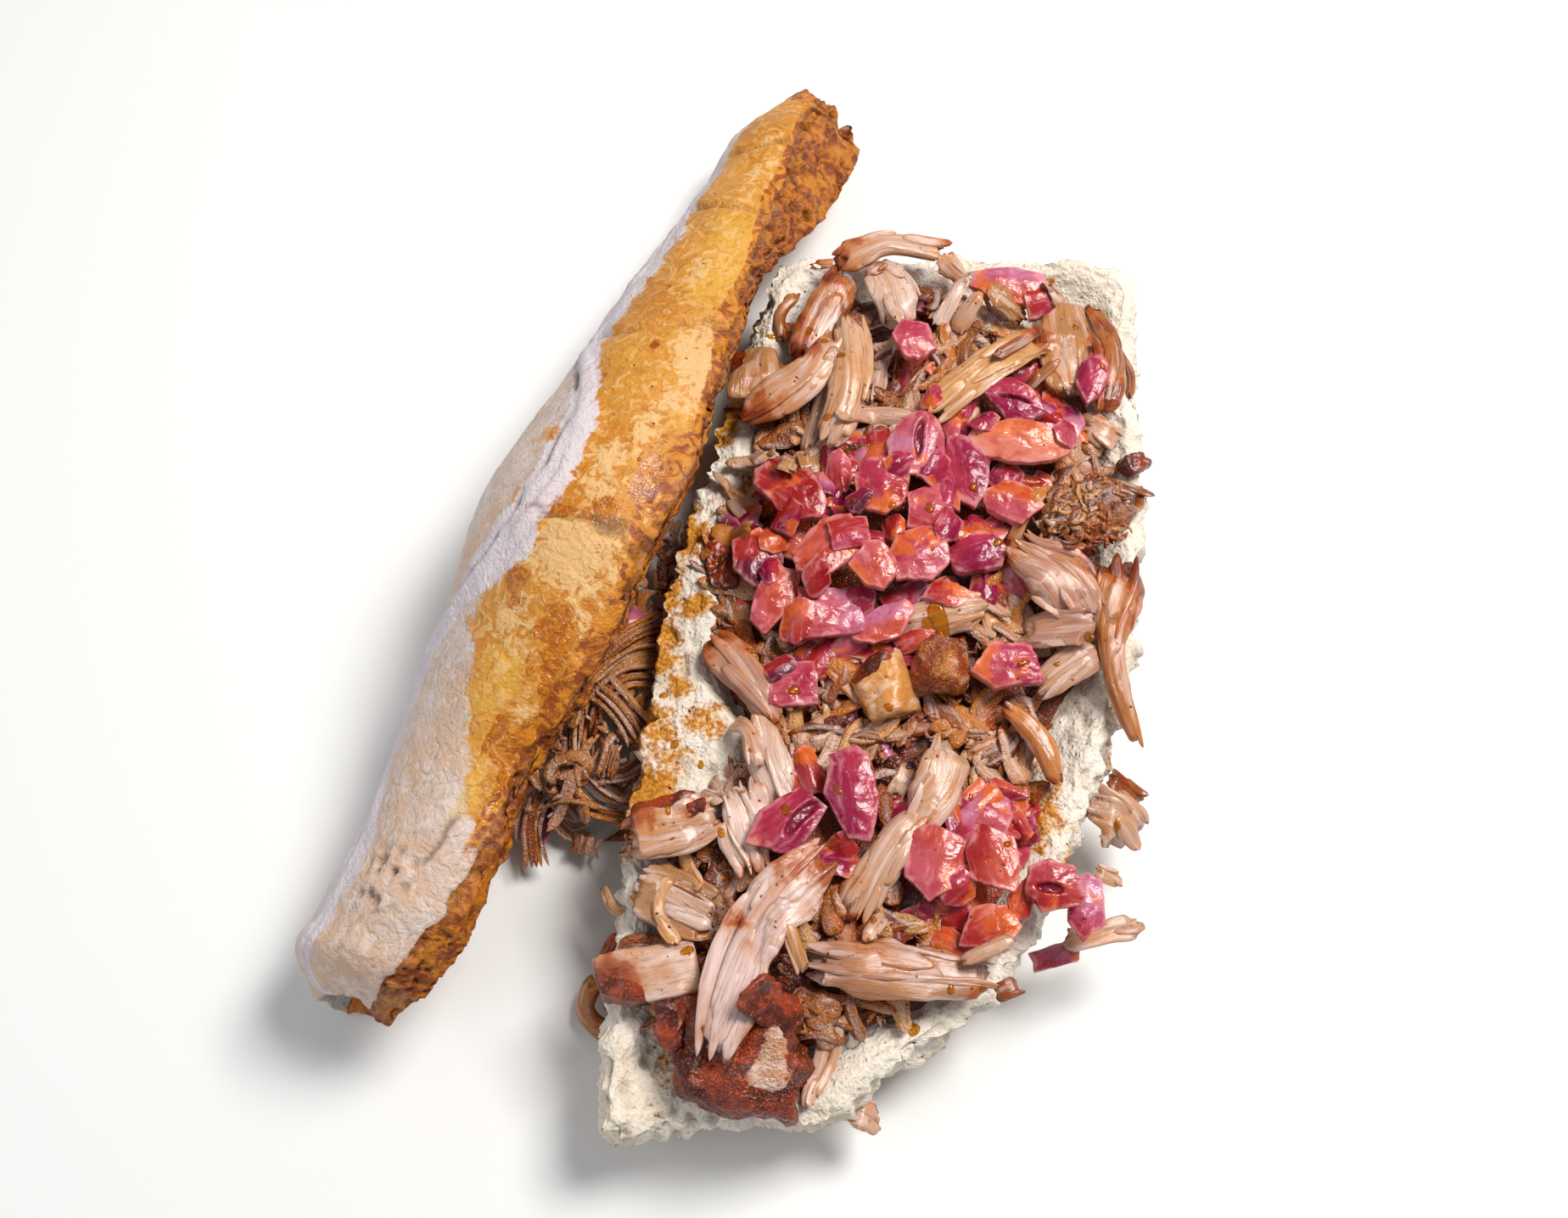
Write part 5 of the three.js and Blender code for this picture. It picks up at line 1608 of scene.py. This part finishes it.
scatter_shreds()

# %% [markdown]
# ## Smaller pieces of pork and onion
# Between the named pieces lie smaller ones. The places and sizes of the plainest ones are listed,
# and more onion is then strewn by rule where the bed still shows. How high they lie comes from the
# rays, except outside the heel, where it is given.

# %% Smaller pieces of pork
SMALL_PORK = [  # points along it, width, tone, bark
    ([(22, 58), (19, 47), (16, 36)], 3.5, PALE, 0), ([(33, 60), (32, 54), (31, 48)], 5, PALE, 0),
    ([(23, 41), (30, 44), (40, 43)], 4.5, PALE, 0), ([(47, 84), (53, 82)], 6, PALE, 0),
    ([(52, 78), (46, 67)], 4, WHITE, 0), ([(56, 74), (50, 66)], 4.5, PALE, 0),
    ([(57, 72), (58, 67)], 4, WHITE, 0), ([(58, 74), (66, 70)], 7, BEIGE, 0),
    ([(77, 76), (71, 75)], 6, PALE, 0), ([(73, 58), (66, 52)], 3, BROWN, 0.3),
    ([(78, 45), (86, 39)], 8, PALE, 0), ([(88, 33), (92, 36)], 5, DEEP, 0.8),
    ([(80, 27), (88, 28), (93, 26)], 2.2, BROWN, 0.1), ([(60, 12), (66, 22), (72, 26)], 3, AMBER, 0),
    ([(84, 20), (90, 24), (91, 29)], 2, BROWN, 0.2), ([(62, -8), (76, -8)], 8, PINK, 0),
    ([(54, 0), (55, -4), (57, -8)], 4.5, YELLOW, 0), ([(0, 26), (4, 21)], 6.5, PALE, 0),
    ([(-6, 17), (-1, 16), (4, 15)], 5.5, AMBER, 0), ([(-4, 14), (-2, 4)], 6.5, DEEP, 0.75),
    ([(5, 35), (8, 30)], 6, PALE, 0), ([(16, 36), (17, 30)], 5, BEIGE, 0),
    ([(9, 29), (14, 27)], 4, BEIGE, 0), ([(-5, -76), (-9, -84), (-12, -92)], 8, DEEP, 0.9),
    ([(5, -85), (12, -90)], 9, DEEP, 0.9), ([(20, -86), (18, -96), (15, -105)], 3.6, WHITE, 0),
    ([(22, -88), (21, -95), (17, -103)], 2.2, WHITE, 0), ([(25, -86), (20, -92)], 2.4, PALE, 0),
    ([(18, -73), (27, -73), (36, -71)], 4.5, DEEP, 0.7), ([(12, -72), (15, -80)], 3.6, YELLOW, 0),
    ([(68, -72), (84, -68)], 5.5, PALE, 0), ([(52, -84), (58, -82)], 4, BROWN, 0.3),
    ([(-8, -50), (-9, -57), (-6, -63)], 3.2, YELLOW, 0), ([(-21, -50.5), (-5, -46)], 5.2, BROWN, 0.75),
    ([(-2, -30), (0, -38), (-3, -44)], 2.8, PINK, 0), ([(-7, -42), (-2, -46)], 3, WHITE, 0),
    ([(18, -24), (22, -30), (27, -30)], 4, YELLOW, 0),
    ([(36, -28), (44, -27), (50, -25)], 4, BROWN, 0.4),
    ([(46, -24), (54, -27), (60, -33)], 4.2, BROWN, 0.35), ([(50, -34), (57, -31)], 4.4, AMBER, 0.2),
    ([(38, -36), (33, -43)], 4.4, PALE, 0), ([(31, -68), (27, -74)], 4, PALE, 0),
    ([(46, -78), (56, -74)], 3.4, PALE, 0), ([(0, -27), (4, -31), (6, -38)], 4, PALE, 0),
    ([(70, 66), (64, 60), (58, 55)], 2.8, BROWN, 0.1),
    ([(88, 66), (91, 58), (90, 52)], 2, BROWN, 0.3), ([(14, 80), (10, 74), (11, 67)], 3.4, BROWN, 0.2),
    ([(30, 78), (34, 82)], 3.4, BROWN, 0.1), ([(18, 88), (26, 90)], 3.6, BEIGE, 0),
    ([(-12, -60), (-14, -68), (-10, -74)], 2.6, YELLOW, 0),
]
OUTSIDE = [  # pieces that hang or lie just outside the heel: points with heights, width, tone, bark
    ([(76, -42, 19), (82, -44, 17), (86, -49, 12)], 13, PALE, 0.05),
    ([(80, -36, 20), (88, -40, 16)], 5, BROWN, 0.5),
    ([(78, -54, 10), (84, -56, 8)], 4, PALE, 0),
    ([(-27, -80, 8), (-24, -83, 6), (-20, -87, 5)], 4, PALE, 0),
    ([(-29, -76, 5), (-31, -82, 4), (-25, -88, 3)], 4.5, BEIGE, 0),
    ([(24, -104, 16), (30, -107, 13)], 7, PALE, 0.1),
    ([(-27, -60, 20), (-24, -65, 21), (-21, -66, 22)], 2.4, YELLOW, 0),
]


def small_pork():
    """The smaller pieces of pork, each a slim bundle laid over what is under it."""
    pile = Pile()
    for order, (points, wide, colour, bark) in enumerate(SMALL_PORK):
        line = laid(everything, np.array(points) + HOME, 0.22 * wide)
        if len(line) == 2:
            line = np.stack([line[0], line.mean(0) + [0, 0, 0.5], line[1]])
        if bark > 0.7:
            ahead = unit(line[-1] - line[0])
            axes = np.stack([ahead, unit(np.cross([0, 0, 1.0], ahead)), [0, 0, 1.0]])
            half = np.array([np.linalg.norm(line[-1] - line[0]) / 2 + 0.2 * wide, wide / 2, 0.4 * wide])
            hewn(pile, line.mean(0), axes, half, order + 200, 9, 0.22 * wide, 0.7, 8, tone=colour, bark=bark)
            continue
        line = path(line, 28)
        height = min(0.2 * wide, 1.2)
        sides = 18 if wide < 4.6 else 30
        bundle(pile, line, wide / 2, height, order + 200, 1, sides, 0.8, 0.3, tone=colour, bark=bark)
    for order, (points, wide, colour, bark) in enumerate(OUTSIDE):
        line = path(np.array(points) + [*HOME, 0], 34)
        height = min(0.26 * wide, 2.6)
        bundle(pile, line, wide / 2, height, order + 300, 2, 44, 0.9, 0.5, tone=colour, bark=bark)
    brown_all(pile)
    pile.piece("smaller_pork_pieces", MEAT, "pork")
    print("smaller pork:", len(SMALL_PORK) + len(OUTSIDE), "triangles", TALLY["smaller_pork_pieces"])


small_pork()

# %% Smaller pieces of onion
SMALL_ONION = [  # x, y, long, wide, turn, tone, other tone
    (44, 76, 10, 7, 60, PLUM, LAVENDER), (70, 73, 9, 7, 20, CORAL, ROSE),
    (64, 66, 12, 5, -8, ROSE, LAVENDER), (48, 59, 12, 9, 30, ORANGE, CORAL),
    (38, 52, 11, 9, 80, ROSE, CORAL), (46, 53, 8, 6, 10, ORANGE, SALMON), (73, 46, 10, 8, 40, ROSE, MAGENTA),
    (81, 32, 9, 7, 60, LAVENDER, ROSE), (73, 37, 9, 7, 75, ROSE, BLUSH), (32, 36, 10, 7, 85, CORAL, ROSE),
    (24, 30, 10, 8, 20, CORAL, ORANGE), (22, 24, 8, 7, 50, ORANGE, CORAL), (27, 20, 7, 6, 40, PLUM, MAGENTA),
    (32, 13, 16, 5, -10, CORAL, ROSE), (9, 13, 9, 7, 30, SALMON, ORANGE), (0, -4, 10, 9, 60, ORANGE, CORAL),
    (25, 12, 10, 8, 15, CORAL, ROSE), (46, 14, 9, 7, 70, MAGENTA, ROSE), (14, -6, 12, 8, 80, CORAL, SALMON),
    (14, -12, 9, 8, 0, SALMON, CORAL), (24, -12, 15, 7, 5, CORAL, RUBY), (7, -11, 9, 8, 20, PLUM, MAGENTA),
    (31, -13, 13, 5, 34, MAGENTA, ROSE), (66, -12, 7, 6, 10, LAVENDER, ROSE),
    (23, -26, 10, 9, 80, BLUSH, LAVENDER), (30, -30, 11, 6, -55, BLUSH, LAVENDER),
    (52, -37, 9, 8, 10, MAGENTA, RUBY), (54, -45, 12, 8, 10, ROSE, CORAL),
    (62, -46, 9, 8, 30, CORAL, ORANGE), (50, -50, 9, 8, 60, BLUSH, CORAL), (39, -68, 13, 6, -5, ROSE, BLUSH),
    (67, -74, 11, 5, 12, ROSE, LAVENDER), (22, 18, 7, 5, -20, LAVENDER, SALMON),
    (56, 16, 8, 6, 20, CORAL, ROSE), (36, 0, 9, 7, 30, CORAL, BLUSH), (46, 2, 9, 7, 60, CORAL, ROSE),
    (36, 28, 8, 7, 30, MAGENTA, ROSE), (47, 23, 8, 6, 80, ROSE, MAGENTA), (18, 2, 9, 7, 70, CORAL, RUBY),
    (27, -2, 9, 7, 10, ROSE, CORAL), (66, 28, 8, 6, 0, CORAL, ORANGE), (55, 40, 9, 6, 30, ROSE, MAGENTA),
    (2, 2, 8, 7, 10, CORAL, ROSE), (12, 17, 8, 6, 60, CORAL, MAGENTA), (46, -64, 9, 7, 40, CORAL, ROSE),
    (58, -66, 9, 7, 70, CORAL, ORANGE), (60, -54, 8, 6, 40, ROSE, BLUSH),
    (18, -36, 7, 5, 70, ROSE, LAVENDER), (44, 46, 8, 6, 80, ROSE, SALMON), (10, -16, 8, 6, 30, CORAL, PLUM),
    (38, -10, 10, 6, 20, CORAL, SALMON), (8, 5, 8, 6, 100, MAGENTA, CORAL),
    (44, 28, 9, 6, 60, MAGENTA, ROSE),
]
APART = [  # pieces beside the heel: x, y, height, long, wide, turn, tone, other tone
    (-25, -71, 5, 12, 8, 70, PLUM, MAGENTA), (-24, 2, 15, 9, 6, 40, ROSE, LAVENDER),
    (-43, -43, 7, 14, 6, 75, CORAL, PLUM),
]


ONION_TRIES, FILL = 4000, 118


def small_petal(pile, x, y, z, long, wide, turn, first, second, order, amber=0.0):
    """A smaller piece of onion, bowed along its width and tilted with what it lies on."""
    turn = math.radians(turn)
    axes = np.array([[math.cos(turn), math.sin(turn)], [-math.sin(turn), math.cos(turn)]])
    half = np.array([long, wide]) / 2
    middle = np.array([x, y])
    reach = axes * half[:, None] * 0.7
    ends = [drop(everything, *(middle + way * reach[k]), z) for k in (0, 1) for way in (-1, 1)]
    ends = np.clip(ends, z - 2.0, z + 2.0)
    bow = np.array([z + 0.9, (ends[1] - ends[0]) * 0.5, (ends[3] - ends[2]) * 0.5, -0.5, -1.0, 0.0])
    corner = (2.4, 4.0, 2.9)[order % 3]
    look = dict(tone=first, other=second, thick=1.9, corner=corner, ridge=1.2, amber=amber)
    petal(pile, middle, half, axes, bow, look, order + 400, 30, 0.45)


def small_onion():
    """The smaller pieces of onion that fill the heap."""
    pile = Pile()
    for order, (x, y, *rest) in enumerate(SMALL_ONION):
        x, y = x + HOME[0], y + HOME[1]
        small_petal(pile, x, y, drop(everything, x, y, 20.0) + 0.3, *rest, order)
    for order, (x, y, z, *rest) in enumerate(APART):
        small_petal(pile, x + HOME[0], y + HOME[1], z, *rest, order + 90)
    draw = np.random.default_rng(21)
    low, high = box_in_mm("pork_bed")
    tones = (CORAL, CORAL, ROSE, SALMON, MAGENTA, ORANGE, MAGENTA, BLUSH, LAVENDER)
    filled = 0
    for _ in range(ONION_TRIES):
        x, y = somewhere(draw, low, high)
        bed, top = drop(bed_only, x, y), drop(everything, x, y, 0)
        if bed is None or top - bed > 2.0 or among_onions(x, y) > 1.0 or filled >= FILL:
            continue
        first, second = tones[draw.integers(len(tones))], tones[draw.integers(len(tones))]
        long = draw.uniform(8.0, 13.0)
        height = top + draw.uniform(0.3, 2.8)
        wide = long * draw.uniform(0.5, 0.85)
        small_petal(pile, x, y, height, long, wide, draw.uniform(0, 180), first, second, filled + 120, 0.1)
        filled += 1
    pile.piece("smaller_onion_pieces", ONION, "onion")
    count = len(SMALL_ONION) + len(APART) + filled
    print("smaller onion:", count, "triangles", TALLY["smaller_onion_pieces"])


small_onion()

# %% [markdown]
# ## What slid down between the halves
# Curly brown strands and mince lie on the table between the lid and the heel. They are the same
# strands again, longer, darker and more bent, in a loose tangle over a low core.

# %% The tangle beside the heel
TANGLE = [  # points along it with heights, width, tone
    ([(-16, 2, 13), (-24, -3, 16), (-31, -10, 15), (-34, -18, 12)], 6, BROWN),
    ([(-14, -6, 14), (-22, -8, 18), (-29, -14, 18), (-33, -24, 14)], 5, PINK),
    ([(-16, -12, 16), (-24, -14, 20), (-30, -20, 19), (-31, -30, 14)], 5, BROWN),
    ([(-30, -15, 19), (-25, -20, 20), (-20, -26, 17)], 7, BEIGE),
    ([(-33, -20, 15), (-33, -30, 16), (-27, -37, 13), (-20, -38, 9)], 4.5, BROWN),
    ([(-36, -22, 13), (-37, -32, 14), (-31, -40, 11), (-22, -41, 6)], 4, PALE),
    ([(-38, -28, 12), (-39, -36, 10), (-34, -42, 7)], 4.5, PINK),
    ([(-26, -28, 19), (-28, -35, 17)], 4, WHITE),
    ([(-32, -45, 5), (-33, -49, 4)], 6, BROWN),
    ([(-42, -36, 10), (-44, -44, 8), (-43, -52, 5)], 5, BROWN),
    ([(-18, -30, 15), (-24, -34, 15), (-30, -34, 14)], 4, BROWN),
    ([(-40, -40, 6), (-36, -44, 4), (-32, -43, 3)], 4, PALE),
]


SPILL_TRIES, BAND = 240, 5  # tries for small pieces, and strands in each band


def tangle():
    """Curly strands over a low core, between the halves."""
    draw = np.random.default_rng(11)
    pile = Pile()
    core_of("pork_spill", pile, 3.0, 60, 40, tone=BROWN, bark=0.4)
    for order, (points, wide, colour) in enumerate(TANGLE):
        line = path(np.array(points) + [*HOME, 0], 26)
        side, top = frame_of(line)
        for k in range(BAND):
            off = (k - 2) * 0.36 + draw.uniform(-0.1, 0.1)
            spread = off * (wide / 2) * (1 + 0.5 * np.abs(np.linspace(-1, 1, 26)) ** 3)
            own = line + side * spread[:, None] + top * draw.uniform(-0.5, 1.4)
            slim = wide / 2 * draw.uniform(0.16, 0.3)
            shade = (colour, BEIGE, AMBER, BROWN, tone(172, 112, 74))[draw.integers(5)]
            strand(pile, own, slim, 0.8 * slim, 500 + 7 * order + k, 8, tone=shade, bark=0.0)
    spill = ground(["pork_spill"])
    low, high = box_in_mm("pork_spill")
    for _ in range(SPILL_TRIES):
        x, y = somewhere(draw, low, high, 3)
        if drop(spill, x, y) is None:
            continue
        colour = (BROWN, BEIGE, PINK, AMBER, BROWN)[draw.integers(5)]
        if draw.random() < 0.5:
            mince(pile, spill, x, y, draw.uniform(1.5, 3.6), draw, colour, draw.uniform(0.2, 0.7))
            continue
        turn = draw.normal(1.2, 0.7)
        long, wide = draw.uniform(8, 18), draw.uniform(1.4, 3.4)
        small_shred(pile, spill, x, y, long, wide, turn, draw, colour, 0.2, 0.8)
    brown_all(pile)
    pile.piece("tangle_between_the_halves", BARK, "bark", "pork_spill")
    print("tangle triangles:", TALLY["tangle_between_the_halves"])


tangle()

# %% [markdown]
# ## Drops of oil and flecks
# Last come the things that were spilled over the heap: clear amber drops of cooking oil, a small pool
# of it on one flat strip, and specks of burnt spice. They rest on what really lies on top there, so
# the rays are dropped on the finished pieces.

# %% The top of the finished heap
def finished_heap():
    """A tree of faces for every finished piece but the floor."""
    graph = bpy.context.evaluated_depsgraph_get()
    return [BVHTree.FromObject(bpy.data.objects[name], graph) for name in TALLY]


def top_of(trees, x, y):
    """Where the first face under a point is, and the way it faces; None beside the heap."""
    best = None
    for tree in trees:
        place, facing, _, _ = tree.ray_cast(Vector((x * MM, y * MM, 0.1)), DOWN)
        if place is not None and (best is None or place.z > best[0].z):
            best = (place, facing)
    return best


# %% Spill them
def oil_paint():
    """Clear amber oil."""
    paint = Paint("oil")
    deep = paint.grain(300.0, 2.0)
    colour = paint.blend(deep, tone(255, 190, 50), tone(240, 150, 20))
    return paint.finish({"Base Color": colour}, Roughness=0.04, Transmission_Weight=0.9, IOR=1.4)


def blob(pile, place, facing, long, wide, high, turn, seed, rows=5, sides=10, **values):
    """A low rounded drop that lies on a face, half sunk in it."""
    up = unit(np.array(facing))
    side = unit(np.cross(up, [math.cos(turn), math.sin(turn), 0.1]))
    other = np.cross(up, side)
    fall = np.linspace(0.12, np.pi - 0.12, rows)[:, None]
    angle = 2 * np.pi * np.arange(sides) / sides
    uneven = 1 + 0.14 * np.sin(2 * angle + seed) + 0.1 * np.sin(3 * angle + 2.1 * seed)
    across = np.sin(fall) * uneven
    flat = (across * np.cos(angle) * long)[..., None] * side
    flat = flat + (across * np.sin(angle) * wide)[..., None] * other
    pile.add(np.array(place) / MM + flat + (np.cos(fall) * high + 0 * angle)[..., None] * up, **values)


OIL_DROPS, FLECKS = 64, 260


def spill_drops():
    """Oil drops on the filling, and the pool."""
    trees = finished_heap()
    draw = np.random.default_rng(31)
    drops, flecks = Pile(), Pile()
    low, high = box_in_mm("pork_bed")
    count = 0
    while count < OIL_DROPS:
        x, y = somewhere(draw, low, high, 0, 0)
        size, turn = draw.uniform(0.4, 1.5), draw.uniform(0, 6)
        best = top_of(trees, x, y)
        if best is None or best[1].z < 0.6:
            continue
        blob(drops, *best, size, size * draw.uniform(0.5, 1), 0.16 * size + 0.1, turn, count)
        count += 1
    for x, y, long, wide in ((44, -6, 4.2, 1.9), (41.5, -7.0, 2.2, 1.3)):
        best = top_of(trees, x + HOME[0], y + HOME[1])
        blob(drops, *best, long, wide, 0.3, 0.2, x, 7, 20)
    drops.piece("drops_of_oil", oil_paint(), "fat")
    count = 0
    while count < FLECKS:
        x, y = somewhere(draw, low, high, -3, -3)
        best = top_of(trees, x, y)
        size, turn = draw.uniform(0.15, 0.5), draw.uniform(0, 6)
        if best is None or best[1].z < 0.4 or best[0].z < 0.015:
            continue
        own = (DEEP, BROWN, AMBER)[draw.integers(3)]
        looks = dict(tone=own, bark=0.3, tip=0.0, stain=0.3)
        blob(flecks, *best, size, 0.7 * size, 0.5 * size, turn, count, 4, 5, **looks)
        count += 1
    flecks.piece("flecks_of_spice", BARK, "bark")
    print("drops and flecks:", TALLY["drops_of_oil"], TALLY["flecks_of_spice"], "triangles")


spill_drops()

# %% [markdown]
# ## The whole
# Every solid now has a fine piece that stands for it. The triangles of all the pieces are counted.

# %% Triangles in all
print("triangles in all:", sum(TALLY.values()), "largest piece:", max(TALLY.values()))
